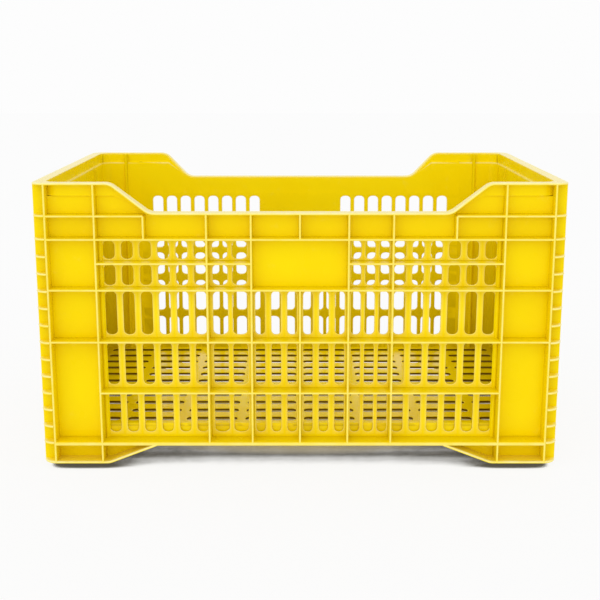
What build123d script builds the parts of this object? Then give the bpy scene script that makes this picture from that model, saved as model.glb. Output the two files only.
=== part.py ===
"""Stackable harvest crate, moulded in one shot and modelled region by region.

The frame stands at the middle of the footprint: X runs along the long walls, -Y is the front,
+Z is up and z = 0 is the ground under the feet.  All sizes are in millimetres.
"""
import os
from math import atan2, pi, tan

from build123d import *

# Outside envelope, shared by the rim, every rib and the foot flanges
LENGTH = 600.0
WIDTH = 400.0
HEIGHT = 336.0
CORNER_RADIUS = 16.0

# Wall skin: it stands inside the ribs, and the long walls lean inwards towards the floor
SKIN = 2.6
WALL_FOOT = 36.0
SHOULDER_INSET = 14.0
FLOOR_INSET = 22.0
SKIN_CORNER = 15.0

# Rim: a flange, the upright strip under it and the ledge that a crate above sits inside
RIM = 2.6
STRIP_INSET = 11.0
STRIP_HEIGHT = 13.0
LEDGE = 3.0

# Notches that lower the middle of the long walls: the level run beside a post, then the slope
NOTCH_DEPTH = 33.5
FRONT_SHOULDER = 19.0
FRONT_SLOPE = 43.0
BACK_SHOULDER = 37.0
BACK_SLOPE = 32.0
NOTCH_ROUND = 18.0

# Ribs and the levels of their top faces
RIB = 2.4
SILL = 4.4
SILL_DROP = 2.0
UPPER_BAND = 29.0
LABEL_HEIGHT = 58.0
SHORT_ROW = 27.5
BACK_BAND = 23.5
BACK_ROW = 41.0
BACK_TALL_ROW = 54.0
LONG_POST = 70.0
END_POST = 95.0
CORNER_RIB_STEPS = 12
CORNER_RIB_CUT = 12.0

# Upright ribs, measured from the middle of a wall or from its post
LABEL_RIB_X = 55.0
BAY_RIB_X = 105.0
BACK_BAY_RIB_X = 116.0
BAND_RIB_GAP = 54.5
END_BAY_RIB_Y = 35.0

# Slots of the walls: a width and a pitch for each kind of bay
OUTER_SLOT = 13.0
OUTER_PITCH = 20.6
MIDDLE_SLOT = 16.8
MIDDLE_PITCH = 22.6
CENTRE_SLOT = 10.8
CENTRE_PITCH = 18.4
NARROW_SLOT = 11.0
NARROW_PITCH = 16.0
BACK_CENTRE_SLOT = 13.4
BACK_SLOT = 14.4
BACK_PITCH = 20.0
END_SLOT = 14.0
END_SLOT_PITCH = 21.0
POST_MARGIN = 4.0
BACK_POST_MARGIN = 13.0
BACK_LOW_SLOT = 24.0
SLOT_EDGE = 2.0
SLOT_FOOT = 4.0
SLOT_HEAD = 3.0
SHORT_SLOT_MARGIN = 2.0
SLOT_CORNER = 3.6

# Floor grid, which spans the walls some way over their feet
FLOOR_RISE = 14.0
FLOOR = 3.6
FLOOR_SLOT_LENGTH = 60.0
FLOOR_SLOT_WIDTH = 13.0
FLOOR_COLUMN_PITCH = 70.0
FLOOR_ROW_PITCH = 31.7
FLOOR_MARGIN = 7.0

# Hand holds in the end walls
HAND_LENGTH = 112.0
HAND_HEIGHT = 28.0
HAND_DROP = 27.0
HAND_LIP = 3.0
HAND_CORNER = 9.0
HAND_RIB_GAP = 19.0

# Upright guides inside the posts, which centre the pads of a crate stacked on top
GUIDE = 4.0
GUIDE_X_GAP = 21.0
GUIDE_CLEARANCE = 0.4

# Feet and the arches between them
FOOT_HEIGHT = 8.0
FOOT_MARGIN = 2.0
PAD_INSET = 21.0
PAD_WIDTH = 13.0
PAD_END_GAP = 1.0
PAD_TAPER = 14.0
ARCH_START = 8.0
ARCH_RUN = 56.0
ARCH_ROUND = 20.0

# Levels and places that follow from the sizes above
RIM_UNDER = HEIGHT - RIM
LEDGE_TOP = HEIGHT - STRIP_HEIGHT
LEDGE_UNDER = LEDGE_TOP - LEDGE
RIM_INSET = STRIP_INSET + SKIN
LEDGE_INSET = SHOULDER_INSET + SKIN
LOW_RIM = HEIGHT - NOTCH_DEPTH
LOW_RIM_UNDER = LOW_RIM - RIM
SILL_TOP = WALL_FOOT - SILL_DROP
BAND_FOOT = LOW_RIM - UPPER_BAND
LABEL_FOOT = BAND_FOOT - LABEL_HEIGHT
SHORT_RIB_TOP = BAND_FOOT - SHORT_ROW
ROW_PITCH = (LABEL_FOOT - SILL_TOP) / 3
SILL_UNDER = SILL_TOP - SILL
FLOOR_TOP = WALL_FOOT + FLOOR_RISE
FLOOR_UNDER = FLOOR_TOP - FLOOR
FOOT_FLANGE_TOP = FOOT_HEIGHT + RIM
HALF_X = LENGTH / 2
HALF_Y = WIDTH / 2
POST_X = HALF_X - LONG_POST
POST_Y = HALF_Y - END_POST
SILL_X = POST_X - ARCH_START - ARCH_RUN
SILL_Y = POST_Y - ARCH_START - ARCH_RUN
CORNER_RIB_X = HALF_X - SHOULDER_INSET - RIB / 2
CORNER_RIB_Y = HALF_Y - SHOULDER_INSET - RIB / 2
BAND_RIB_X = POST_X - BAND_RIB_GAP
END_BAND_RIB_Y = HAND_LENGTH / 2 + HAND_LIP + HAND_RIB_GAP
FOOT_FLANGE = PAD_INSET + PAD_WIDTH + FOOT_MARGIN
STRIP_CORNER = SKIN_CORNER + SHOULDER_INSET - STRIP_INSET
INNER_CORNER = SKIN_CORNER - SKIN
GUIDE_X = POST_X + GUIDE_X_GAP
GUIDE_INSET = PAD_INSET - GUIDE_CLEARANCE
GUIDE_DEPTH = GUIDE_INSET - LEDGE_INSET

# Top faces of the level ribs over the sill: two in the tall rows, label foot, short rib and band foot
FRONT_LEVELS = [SILL_TOP + ROW_PITCH, SILL_TOP + 2 * ROW_PITCH, LABEL_FOOT, SHORT_RIB_TOP, BAND_FOOT]
BACK_FOOT = LOW_RIM - BACK_BAND
BACK_LEVELS = [BACK_FOOT - rows * BACK_ROW for rows in (3, 2, 1, 0)]
BACK_LEVELS.insert(0, BACK_LEVELS[0] - BACK_TALL_ROW)


def side_inset(z):
    """Distance from the envelope to the outer face of a long wall's skin at height z."""
    share = (z - WALL_FOOT) / (LEDGE_UNDER - WALL_FOOT)
    return FLOOR_INSET + share * (SHOULDER_INSET - FLOOR_INSET)


def block(x0, x1, y0, y1, z0, z1):
    """Box between two corners."""
    middle = Pos((x0 + x1) / 2, (y0 + y1) / 2, (z0 + z1) / 2)
    return middle * Box(abs(x1 - x0), abs(y1 - y0), abs(z1 - z0))


def along_x(points, x0, x1):
    """Solid with a (y, z) outline, carried from x0 to x1."""
    plane = Plane(origin=(x0, 0, 0), x_dir=(0, 1, 0), z_dir=(1, 0, 0))
    return extrude(plane * make_face(Polyline(*points, close=True)), x1 - x0)


def along_y(points, y0, y1):
    """Solid with an (x, z) outline, carried from y0 to y1."""
    plane = Plane(origin=(0, y1, 0), x_dir=(1, 0, 0), z_dir=(0, -1, 0))
    return extrude(plane * make_face(Polyline(*points, close=True)), y1 - y0)


def face_along_y(face, y0, y1):
    """Solid made from a flat (x, z) region, carried from y0 to y1."""
    plane = Plane(origin=(0, y1, 0), x_dir=(1, 0, 0), z_dir=(0, -1, 0))
    return extrude(plane * face, y1 - y0)


def face_along_x(face, x0, x1):
    """Solid made from a flat (y, z) region, carried from x0 to x1."""
    plane = Plane(origin=(x0, 0, 0), x_dir=(0, 1, 0), z_dir=(1, 0, 0))
    return extrude(plane * face, x1 - x0)


def plan(inset_x, inset_y, radius):
    """Rounded rectangle inside the envelope, in plan."""
    return RectangleRounded(LENGTH - 2 * inset_x, WIDTH - 2 * inset_y, radius)


def corner_plan(outer, inner):
    """Part of a plan ring that lies in the front left corner post."""
    window = Rectangle(LONG_POST, END_POST, align=(Align.MIN, Align.MIN))
    return (outer - inner) & Pos(-HALF_X, -HALF_Y) * window


def strip(x0, x1, z0, z1):
    """Flat rectangle between two corners, for a rib pattern."""
    return Pos((x0 + x1) / 2, (z0 + z1) / 2) * Rectangle(abs(x1 - x0), abs(z1 - z0))


def level(top, x0, x1, thick=RIB):
    """Level rib of a pattern, hung from its top face."""
    return strip(x0, x1, top - thick, top)


def upright(x, z0, z1):
    """Upright rib of a pattern, centred on x."""
    return strip(x - RIB / 2, x + RIB / 2, z0, z1)


def broken_upright(x, foot, tops, head):
    """Upright rib from foot to head, broken where level ribs with the given tops cross it."""
    feet = [foot] + tops
    heads = [top - RIB for top in tops] + [head]
    return [upright(x, low, high) for low, high in zip(feet, heads)]


def ribs_from(pattern, to_solid, half, depth):
    """Ribs that stand on the skin: each flat strip goes in from the envelope and is trimmed there."""
    return Compound([(to_solid(outline, -half, depth - half) - SKIN_BLOCK).solid() for outline in pattern])


def bay_slots(start, end, width, pitch, rows):
    """Rows of square-ended slots, spread evenly about the middle of the bay from start to end."""
    count = int((end - start - 2 * SLOT_EDGE + pitch - width) / pitch)
    first = (start + end) / 2 - (count - 1) * pitch / 2
    return [
        Pos(first + step * pitch, (foot + head) / 2) * Rectangle(width, head - foot)
        for step in range(count)
        for foot, head in rows
    ]


def skin_block():
    """Everything inside the outer faces of the skin: ribs are trimmed against it."""
    foot_plan = plan(SHOULDER_INSET, FLOOR_INSET, SKIN_CORNER)
    head_plan = plan(SHOULDER_INSET, SHOULDER_INSET, SKIN_CORNER)
    strip_plan = plan(STRIP_INSET, STRIP_INSET, STRIP_CORNER)
    base = extrude(foot_plan, WALL_FOOT)
    walls = loft([Pos(0, 0, WALL_FOOT) * foot_plan, Pos(0, 0, LEDGE_UNDER) * head_plan], ruled=True)
    strip_solid = extrude(Pos(0, 0, LEDGE_UNDER) * strip_plan, HEIGHT - LEDGE_UNDER)
    return base + walls + strip_solid


SKIN_BLOCK = skin_block()


def leaning_points(foot, head):
    """Outline of a long wall's skin between two heights, for the front wall."""
    return [
        (side_inset(foot) - HALF_Y, foot),
        (side_inset(head) - HALF_Y, head),
        (side_inset(head) + SKIN - HALF_Y, head),
        (side_inset(foot) + SKIN - HALF_Y, foot),
    ]


def rimmed_points(foot_inset, half, foot):
    """Outline of a skin that ends in the ledge and the upright strip under the rim."""
    return [
        (foot_inset - half, foot),
        (SHOULDER_INSET - half, LEDGE_UNDER),
        (STRIP_INSET - half, LEDGE_UNDER),
        (STRIP_INSET - half, RIM_UNDER),
        (RIM_INSET - half, RIM_UNDER),
        (RIM_INSET - half, LEDGE_TOP),
        (LEDGE_INSET - half, LEDGE_TOP),
        (LEDGE_INSET - half, LEDGE_UNDER),
        (foot_inset + SKIN - half, foot),
    ]


def wall_slots(wall):
    """All slots of a long wall, as flat (x, z) outlines; the short ones have their corners cut."""
    slots = []
    for bay in wall.label_bays + wall.bays:
        slots += bay_slots(*bay, wall.tall_rows)
    for bay in wall.bays:
        slots += [chamfer(slot.vertices(), SLOT_CORNER) for slot in bay_slots(*bay, wall.short_rows)]
    return slots


def both_halves(start, end, width, pitch):
    """The same bay on the left and on the right half of a wall."""
    return [(-end, -start, width, pitch), (start, end, width, pitch)]


class LongWall:
    """Layout of a long wall: levels of its ribs, bays and rows of its slots, and the notch in its rim.

    A bay gives its start, its end, and the width and pitch of its slots; label bays have no short rows.
    """

    def __init__(self, shoulder_run, slope_run, levels, low_slot, bay_rib, label_bays, bays):
        self.levels = levels
        self.label_foot, self.short_top, self.band_foot = levels[2:]
        self.post_tops = [levels[1], self.label_foot, self.band_foot, LOW_RIM_UNDER]
        tall = zip([SILL_TOP] + levels, levels[:3])
        self.tall_rows = [(foot + SLOT_FOOT, head - RIB - SLOT_HEAD) for foot, head in tall]
        self.tall_rows[0] = (low_slot, self.tall_rows[0][1])
        self.short_rows = [
            (foot + SHORT_SLOT_MARGIN, head - RIB - SHORT_SLOT_MARGIN)
            for foot, head in zip(levels[2:], levels[3:])
        ]
        self.bay_rib = bay_rib
        self.label_bays = label_bays
        self.bays = bays
        self.top = POST_X - shoulder_run
        self.bottom = self.top - slope_run
        slope = atan2(NOTCH_DEPTH, slope_run)
        self.shift = RIM * tan(slope / 2)
        self.end = self.bottom - (NOTCH_ROUND + RIM) * tan(slope / 2)

    def line(self, drop, shift, radii):
        """Rounded line from the post, over the slope, to the level middle (left half)."""
        points = [
            (-POST_X, HEIGHT - drop),
            (-self.top - shift, HEIGHT - drop),
            (-self.bottom - shift, LOW_RIM - drop),
            (-self.end, LOW_RIM - drop),
        ]
        return FilletPolyline(*points, radius=radii)

    def over(self):
        """Top line of the sloped rim."""
        return self.line(0, 0, (NOTCH_ROUND, NOTCH_ROUND))

    def under(self):
        """Underside of the sloped rim, one rim thickness below its top line."""
        return self.line(RIM, self.shift, (NOTCH_ROUND - RIM, NOTCH_ROUND + RIM))


FRONT = LongWall(
    FRONT_SHOULDER,
    FRONT_SLOPE,
    FRONT_LEVELS,
    WALL_FOOT + SLOT_FOOT,
    BAY_RIB_X,
    both_halves(0, LABEL_RIB_X, CENTRE_SLOT, CENTRE_PITCH),
    [
        (-BAY_RIB_X, -LABEL_RIB_X, MIDDLE_SLOT, MIDDLE_PITCH),
        (LABEL_RIB_X, BAY_RIB_X, NARROW_SLOT, NARROW_PITCH),
    ]
    + both_halves(BAY_RIB_X, POST_X - POST_MARGIN, OUTER_SLOT, OUTER_PITCH),
)
BACK = LongWall(
    BACK_SHOULDER,
    BACK_SLOPE,
    BACK_LEVELS,
    WALL_FOOT + BACK_LOW_SLOT,
    BACK_BAY_RIB_X,
    [
        (-LABEL_RIB_X, 0, MIDDLE_SLOT, MIDDLE_PITCH),
        (0, LABEL_RIB_X, BACK_CENTRE_SLOT, CENTRE_PITCH),
    ],
    both_halves(LABEL_RIB_X, POST_X - BACK_POST_MARGIN, BACK_SLOT, BACK_PITCH),
)


def closed_face(line, *corners):
    """Flat region between a line and the straight edges through the given corners."""
    edges = Polyline(line @ 1, *corners, line @ 0)
    return make_face(line.edges() + edges.edges())


def shoulder(wall):
    """Skin of a long wall beside the notch (left half), up to the underside of its sloped rim."""
    foot = wall.band_foot
    skin = along_x(rimmed_points(side_inset(foot), HALF_Y, foot), -POST_X, -wall.end)
    outline = closed_face(wall.under(), (-wall.end, foot), (-POST_X, foot))
    return skin & face_along_y(outline, -HALF_Y, 0)


def sloped_rim(wall):
    """Flange that follows the notch down (left half); over the strip it stops at the rim's edge."""
    under = wall.under()
    over = wall.over()
    ends = [Line(over @ 0, under @ 0), Line(over @ 1, under @ 1)]
    ribbon = make_face(over.edges() + under.edges() + [end.edge() for end in ends])
    low_inset = side_inset(LOW_RIM_UNDER) + SKIN
    flange = face_along_y(ribbon, -HALF_Y, low_inset - HALF_Y)
    above_ledge = block(
        -POST_X, -wall.end, RIM_INSET - HALF_Y, low_inset - HALF_Y, LEDGE_TOP, HEIGHT
    )
    return flange - above_ledge


def low_rim(wall):
    """Level flange along the lowered middle of a long wall."""
    low_inset = side_inset(LOW_RIM_UNDER) + SKIN
    return block(-wall.end, wall.end, -HALF_Y, low_inset - HALF_Y, LOW_RIM_UNDER, LOW_RIM)


def upper_band(wall):
    """Plain skin between the slotted wall and the lowered rim."""
    return along_x(leaning_points(wall.band_foot, LOW_RIM_UNDER), -wall.end, wall.end)


def label_panel(wall):
    """Plain panel left free of slots in the middle of the short rows."""
    return along_x(leaning_points(wall.label_foot, wall.band_foot), -LABEL_RIB_X, LABEL_RIB_X)


def wall_lattice(wall):
    """Slotted skin of a long wall between its posts, down to the sill and without the label panel."""
    foot_y = (FLOOR_INSET - HALF_Y, FLOOR_INSET + SKIN - HALF_Y)
    skin = along_x(leaning_points(WALL_FOOT, wall.band_foot), -POST_X, POST_X)
    skin += block(-SILL_X, SILL_X, *foot_y, SILL_UNDER, WALL_FOOT)
    skin -= block(-LABEL_RIB_X, LABEL_RIB_X, -HALF_Y, 0, wall.label_foot, HEIGHT)
    return skin - face_along_y(Sketch() + wall_slots(wall), -HALF_Y, 0)


def side_ribs(wall):
    """Ribs on a long wall between its posts: level ribs run through, uprights stand between them."""
    reach = POST_X - RIB / 2
    through = [top for top in wall.levels if top != wall.short_top]
    pattern = [level(top, -reach, reach) for top in through]
    pattern.append(level(SILL_TOP, -reach, reach, SILL))
    for side in (-1, 1):
        pattern.append(level(wall.short_top, side * (LABEL_RIB_X + RIB / 2), side * reach))
        pattern.append(level(LOW_RIM_UNDER, side * (BAND_RIB_X - RIB / 2), side * reach))
        pattern += broken_upright(side * LABEL_RIB_X, SILL_TOP, through, LOW_RIM_UNDER)
        pattern += broken_upright(side * wall.bay_rib, SILL_TOP, wall.levels, LOW_RIM_UNDER)
        pattern.append(upright(side * BAND_RIB_X, wall.band_foot, LOW_RIM_UNDER - RIB))
    pattern += broken_upright(0, SILL_TOP, wall.levels[:2], wall.label_foot - RIB)
    pattern.append(upright(0, wall.band_foot, LOW_RIM_UNDER))
    return ribs_from(pattern, face_along_y, HALF_Y, FLOOR_INSET + SKIN)


def end_wall():
    """Left end wall between its posts: skin, ledge and strip, with slots and a hand hold."""
    wall = along_y(rimmed_points(SHOULDER_INSET, HALF_X, WALL_FOOT), -POST_Y, POST_Y)
    foot_x = (SHOULDER_INSET - HALF_X, LEDGE_INSET - HALF_X)
    wall += block(*foot_x, -SILL_Y, SILL_Y, SILL_UNDER, WALL_FOOT)
    slots = bay_slots(-POST_Y, -END_BAY_RIB_Y, END_SLOT, END_SLOT_PITCH, FRONT.tall_rows)
    slots += [mirror(outline, about=Plane.YZ) for outline in slots]
    slots += bay_slots(-END_BAY_RIB_Y, END_BAY_RIB_Y, END_SLOT, END_SLOT_PITCH, FRONT.tall_rows)
    slots.append(hand_outline(0))
    return wall - face_along_x(Sketch() + slots, -HALF_X, 0)


def hand_outline(grow):
    """Opening of the hand hold with its corners cut, grown by the thickness of its lip."""
    middle = HEIGHT - HAND_DROP - HAND_HEIGHT / 2
    outline = Rectangle(HAND_LENGTH + 2 * grow, HAND_HEIGHT + 2 * grow)
    return Pos(0, middle) * chamfer(outline.vertices(), HAND_CORNER + grow * tan(pi / 8))


def hand_lip():
    """Lip round the left hand hold, standing out as far as the ribs."""
    ring = hand_outline(HAND_LIP) - hand_outline(0)
    return face_along_x(ring, -HALF_X, SHOULDER_INSET - HALF_X)


def end_rim():
    """Level flange on the left end wall."""
    return block(-HALF_X, RIM_INSET - HALF_X, -POST_Y, POST_Y, RIM_UNDER, HEIGHT)


def end_ribs():
    """Ribs on the left end wall between its posts: level ribs run through, as on the long walls."""
    reach = POST_Y - RIB / 2
    tops = FRONT.levels
    pattern = [level(top, -reach, reach) for top in tops]
    pattern.append(level(SILL_TOP, -reach, reach, SILL))
    for side in (-1, 1):
        pattern += broken_upright(side * END_BAY_RIB_Y, SILL_TOP, tops[:-1], BAND_FOOT - RIB)
        pattern.append(upright(side * END_BAND_RIB_Y, BAND_FOOT, RIM_UNDER))
    return ribs_from(pattern, face_along_x, HALF_X, SHOULDER_INSET)


def post():
    """Front left corner post: the closed skin that turns the corner and leans with the long wall."""
    foot = corner_plan(
        plan(SHOULDER_INSET, FLOOR_INSET, SKIN_CORNER),
        plan(LEDGE_INSET, FLOOR_INSET + SKIN, INNER_CORNER),
    )
    head = corner_plan(
        plan(SHOULDER_INSET, SHOULDER_INSET, SKIN_CORNER),
        plan(LEDGE_INSET, LEDGE_INSET, INNER_CORNER),
    )
    skin = loft([Pos(0, 0, WALL_FOOT) * foot, Pos(0, 0, LEDGE_UNDER) * head], ruled=True)
    low_inset = side_inset(FLOOR_TOP) + SKIN
    side_guide = [
        (low_inset - HALF_Y, FLOOR_TOP),
        (LEDGE_INSET - HALF_Y, LEDGE_UNDER),
        (GUIDE_INSET - HALF_Y, LEDGE_UNDER),
        (low_inset + GUIDE_DEPTH - HALF_Y, FLOOR_TOP),
    ]
    skin += along_x(side_guide, -GUIDE_X - GUIDE / 2, -GUIDE_X + GUIDE / 2)
    return skin + block(
        LEDGE_INSET - HALF_X, GUIDE_INSET - HALF_X, -POST_Y - GUIDE, -POST_Y, FLOOR_TOP, LEDGE_UNDER
    )


def corner_rim():
    """Front left corner of the rim: flange, strip, ledge and the head of the guide on the long wall."""
    flange = corner_plan(plan(0, 0, CORNER_RADIUS), plan(RIM_INSET, RIM_INSET, SKIN_CORNER))
    strip_outer = plan(STRIP_INSET, STRIP_INSET, STRIP_CORNER)
    strip_ring = corner_plan(strip_outer, plan(RIM_INSET, RIM_INSET, SKIN_CORNER))
    ledge = corner_plan(strip_outer, plan(LEDGE_INSET, LEDGE_INSET, INNER_CORNER))
    rim = extrude(Pos(0, 0, RIM_UNDER) * flange, RIM)
    rim += extrude(Pos(0, 0, LEDGE_TOP) * strip_ring, RIM_UNDER - LEDGE_TOP)
    rim += extrude(Pos(0, 0, LEDGE_UNDER) * ledge, LEDGE)
    guide_y = (RIM_INSET - HALF_Y, GUIDE_INSET - HALF_Y)
    return rim + block(-GUIDE_X - GUIDE / 2, -GUIDE_X + GUIDE / 2, *guide_y, LEDGE_UNDER, HEIGHT)


def post_ribs(edge, corner, tops, to_solid, half, depth):
    """Ribs on one face of the front left post, from its edge rib to its corner rib and down to the foot."""
    inner = -edge - RIB / 2
    outer = -corner + RIB / 2
    pattern = [level(top, outer, inner) for top in tops]
    pattern.append(level(SILL_TOP, outer, inner, SILL))
    pattern.append(upright(-edge, FOOT_FLANGE_TOP, RIM_UNDER))
    pattern.append(upright(-corner, FOOT_FLANGE_TOP, RIM_UNDER))
    return ribs_from(pattern, to_solid, half, depth)


def corner_ribs():
    """Close level ribs round the front left corner, between the corner ribs, and the ribs on its end face."""
    step = (BAND_FOOT - SILL_TOP) / CORNER_RIB_STEPS
    tops = [SILL_TOP + number * step for number in range(CORNER_RIB_STEPS + 1)] + [LOW_RIM_UNDER]
    inner_x = SHOULDER_INSET - HALF_X
    inner_y = SHOULDER_INSET - HALF_Y
    shape = [(-HALF_X, inner_y), (inner_x, inner_y), (inner_x, -HALF_Y)]
    shape += [(CORNER_RIB_CUT - HALF_X, -HALF_Y), (-HALF_X, CORNER_RIB_CUT - HALF_Y)]
    plate = make_face(Polyline(*shape, close=True))
    plates = [extrude(Pos(0, 0, top - RIB) * plate, RIB).solid() for top in tops]
    end_face = post_ribs(POST_Y, CORNER_RIB_Y, FRONT.post_tops, face_along_x, HALF_X, SHOULDER_INSET)
    return Compound(plates + list(end_face.solids()))


def foot():
    """Front left foot: leg skin under the post, its flange and the pad that nests in a rim."""
    leg = corner_plan(
        plan(SHOULDER_INSET, FLOOR_INSET, SKIN_CORNER),
        plan(LEDGE_INSET, FLOOR_INSET + SKIN, INNER_CORNER),
    )
    inside = Rectangle(LENGTH - 2 * FOOT_FLANGE, WIDTH - 2 * FOOT_FLANGE)
    flange = corner_plan(plan(0, 0, CORNER_RADIUS), inside)
    pad_inner = PAD_INSET + PAD_WIDTH
    pad = Rectangle(LENGTH - 2 * PAD_INSET, WIDTH - 2 * PAD_INSET)
    pad -= Rectangle(LENGTH - 2 * pad_inner, WIDTH - 2 * pad_inner)
    pad_reach = Rectangle(
        LONG_POST - PAD_END_GAP, END_POST - PAD_END_GAP, align=(Align.MIN, Align.MIN)
    )
    pad &= Pos(-HALF_X, -HALF_Y) * pad_reach
    solid = extrude(Pos(0, 0, FOOT_FLANGE_TOP) * leg, WALL_FOOT - FOOT_FLANGE_TOP)
    solid += extrude(Pos(0, 0, FOOT_HEIGHT) * flange, RIM)
    return solid + extrude(Pos(0, 0, FOOT_HEIGHT) * pad, -FOOT_HEIGHT, taper=PAD_TAPER)


def skirt_line(post_edge, rise):
    """Underside of an arch, from the foot flange up to the sill (left half)."""
    points = [
        (-post_edge, FOOT_HEIGHT + rise),
        (-post_edge + ARCH_START, FOOT_HEIGHT + rise),
        (-post_edge + ARCH_START + ARCH_RUN, SILL_UNDER + rise),
    ]
    return FilletPolyline(*points, radius=ARCH_ROUND)


def skirt(post_edge, half, inset, to_solid):
    """Arched skirt beside a foot: a curved flange and the web that joins it to the wall."""
    end = -post_edge + ARCH_START + ARCH_RUN
    region = closed_face(skirt_line(post_edge, 0), (end, WALL_FOOT), (-post_edge, WALL_FOOT))
    web = to_solid(region, inset - half, inset + SKIN - half)
    over = closed_face(skirt_line(post_edge, RIM), (end, WALL_FOOT), (-post_edge, WALL_FOOT))
    ribbon = region - over
    ribbon &= strip(-post_edge, end, 0, SILL_UNDER)
    return web + to_solid(ribbon, -half, inset - half)


def floor_grid():
    """Floor plate between the walls, with rows of long slots."""
    inset_y = side_inset(FLOOR_UNDER) + SKIN
    plate = plan(LEDGE_INSET, inset_y, INNER_CORNER)
    inner_x = LENGTH - 2 * (LEDGE_INSET + FLOOR_MARGIN)
    inner_y = WIDTH - 2 * (inset_y + FLOOR_MARGIN)
    columns = int((inner_x + FLOOR_COLUMN_PITCH - FLOOR_SLOT_LENGTH) / FLOOR_COLUMN_PITCH)
    rows = int((inner_y + FLOOR_ROW_PITCH - FLOOR_SLOT_WIDTH) / FLOOR_ROW_PITCH)
    places = GridLocations(FLOOR_COLUMN_PITCH, FLOOR_ROW_PITCH, columns, rows)
    plate -= [place * Rectangle(FLOOR_SLOT_LENGTH, FLOOR_SLOT_WIDTH) for place in places]
    return extrude(Pos(0, 0, FLOOR_UNDER) * plate, FLOOR)


def long_side(wall):
    """Named solids of a long wall, in the place of the front one."""
    left_shoulder = shoulder(wall)
    left_rim = sloped_rim(wall)
    return {
        "wall_lattice": wall_lattice(wall),
        "label_panel": label_panel(wall),
        "upper_band": upper_band(wall),
        "left_shoulder": left_shoulder,
        "right_shoulder": mirror(left_shoulder, about=Plane.YZ),
        "left_rim": left_rim,
        "right_rim": mirror(left_rim, about=Plane.YZ),
        "low_rim": low_rim(wall),
        "rib_frame": side_ribs(wall),
    }


def left_end():
    """Named solids of the left end wall."""
    return {
        "end_wall": end_wall(),
        "end_rim": end_rim(),
        "handhold_lip": hand_lip(),
        "rib_frame": end_ribs(),
    }


def left_corner(wall):
    """Named solids of a long wall's left corner, with the skirts that leave its foot."""
    rib_depth = FLOOR_INSET + SKIN_CORNER
    return {
        "post": post(),
        "corner_rim": corner_rim(),
        "post_ribs": post_ribs(POST_X, CORNER_RIB_X, wall.post_tops, face_along_y, HALF_Y, rib_depth),
        "corner_ribs": corner_ribs(),
        "foot": foot(),
        "side_skirt": skirt(POST_X, HALF_Y, FLOOR_INSET, face_along_y),
        "end_skirt": skirt(POST_Y, HALF_X, SHOULDER_INSET, face_along_x),
    }


def crate():
    """All solids of the crate, by name."""
    solids = {"floor_grid": floor_grid()}
    for name, solid in left_end().items():
        solids["left_" + name] = solid
        solids["right_" + name] = mirror(solid, about=Plane.YZ)
    for side, wall in (("front_", FRONT), ("back_", BACK)):
        pieces = long_side(wall)
        for name, solid in left_corner(wall).items():
            pieces["left_" + name] = solid
            pieces["right_" + name] = mirror(solid, about=Plane.YZ)
        for name, solid in pieces.items():
            solids[side + name] = solid if wall is FRONT else mirror(solid, about=Plane.XZ)
    return solids


def main():
    os.makedirs("parts", exist_ok=True)
    for name, solid in crate().items():
        export_step(solid, os.path.join("parts", name + ".step"))


if __name__ == "__main__":
    main()
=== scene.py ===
"""Looks of the stackable harvest crate: moulded skins, ribs, rim, floor and feet, and its studio."""
import math

import bmesh
import bpy
import numpy as np
from bpy.props import FloatProperty, IntProperty, PointerProperty, StringProperty
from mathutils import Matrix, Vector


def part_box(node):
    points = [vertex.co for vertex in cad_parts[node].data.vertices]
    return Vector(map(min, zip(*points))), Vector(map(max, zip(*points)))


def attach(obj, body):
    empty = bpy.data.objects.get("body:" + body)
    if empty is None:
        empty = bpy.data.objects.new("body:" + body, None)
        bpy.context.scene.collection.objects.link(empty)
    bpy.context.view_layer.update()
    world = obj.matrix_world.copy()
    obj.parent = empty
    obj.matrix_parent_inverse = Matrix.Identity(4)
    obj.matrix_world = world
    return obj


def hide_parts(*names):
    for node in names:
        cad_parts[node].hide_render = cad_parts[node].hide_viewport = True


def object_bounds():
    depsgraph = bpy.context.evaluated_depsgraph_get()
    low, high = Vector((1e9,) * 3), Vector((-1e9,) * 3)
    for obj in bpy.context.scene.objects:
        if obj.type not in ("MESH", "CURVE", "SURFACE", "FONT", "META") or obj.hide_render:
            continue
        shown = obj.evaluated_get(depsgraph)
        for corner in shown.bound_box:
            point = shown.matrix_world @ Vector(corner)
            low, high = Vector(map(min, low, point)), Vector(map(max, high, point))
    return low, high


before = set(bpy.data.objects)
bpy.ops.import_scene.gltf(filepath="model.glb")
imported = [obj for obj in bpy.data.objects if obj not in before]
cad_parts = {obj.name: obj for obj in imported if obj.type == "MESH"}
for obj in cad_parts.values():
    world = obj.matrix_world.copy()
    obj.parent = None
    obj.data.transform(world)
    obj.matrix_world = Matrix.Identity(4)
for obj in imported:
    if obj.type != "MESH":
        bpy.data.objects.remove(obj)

bl_info = {
    "name": "Harvest crate",
    "version": (1, 0, 0),
    "blender": (4, 5, 0),
    "location": "View3D > Sidebar > Crate",
    "description": "Moulded surfaces of a stackable harvest crate and the studio it stands in",
    "category": "Object",
}


def low(node, axis):
    """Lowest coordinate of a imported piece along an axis, in metres."""
    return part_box(node)[0][axis]


def high(node, axis):
    """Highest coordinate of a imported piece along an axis, in metres."""
    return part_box(node)[1][axis]


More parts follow.
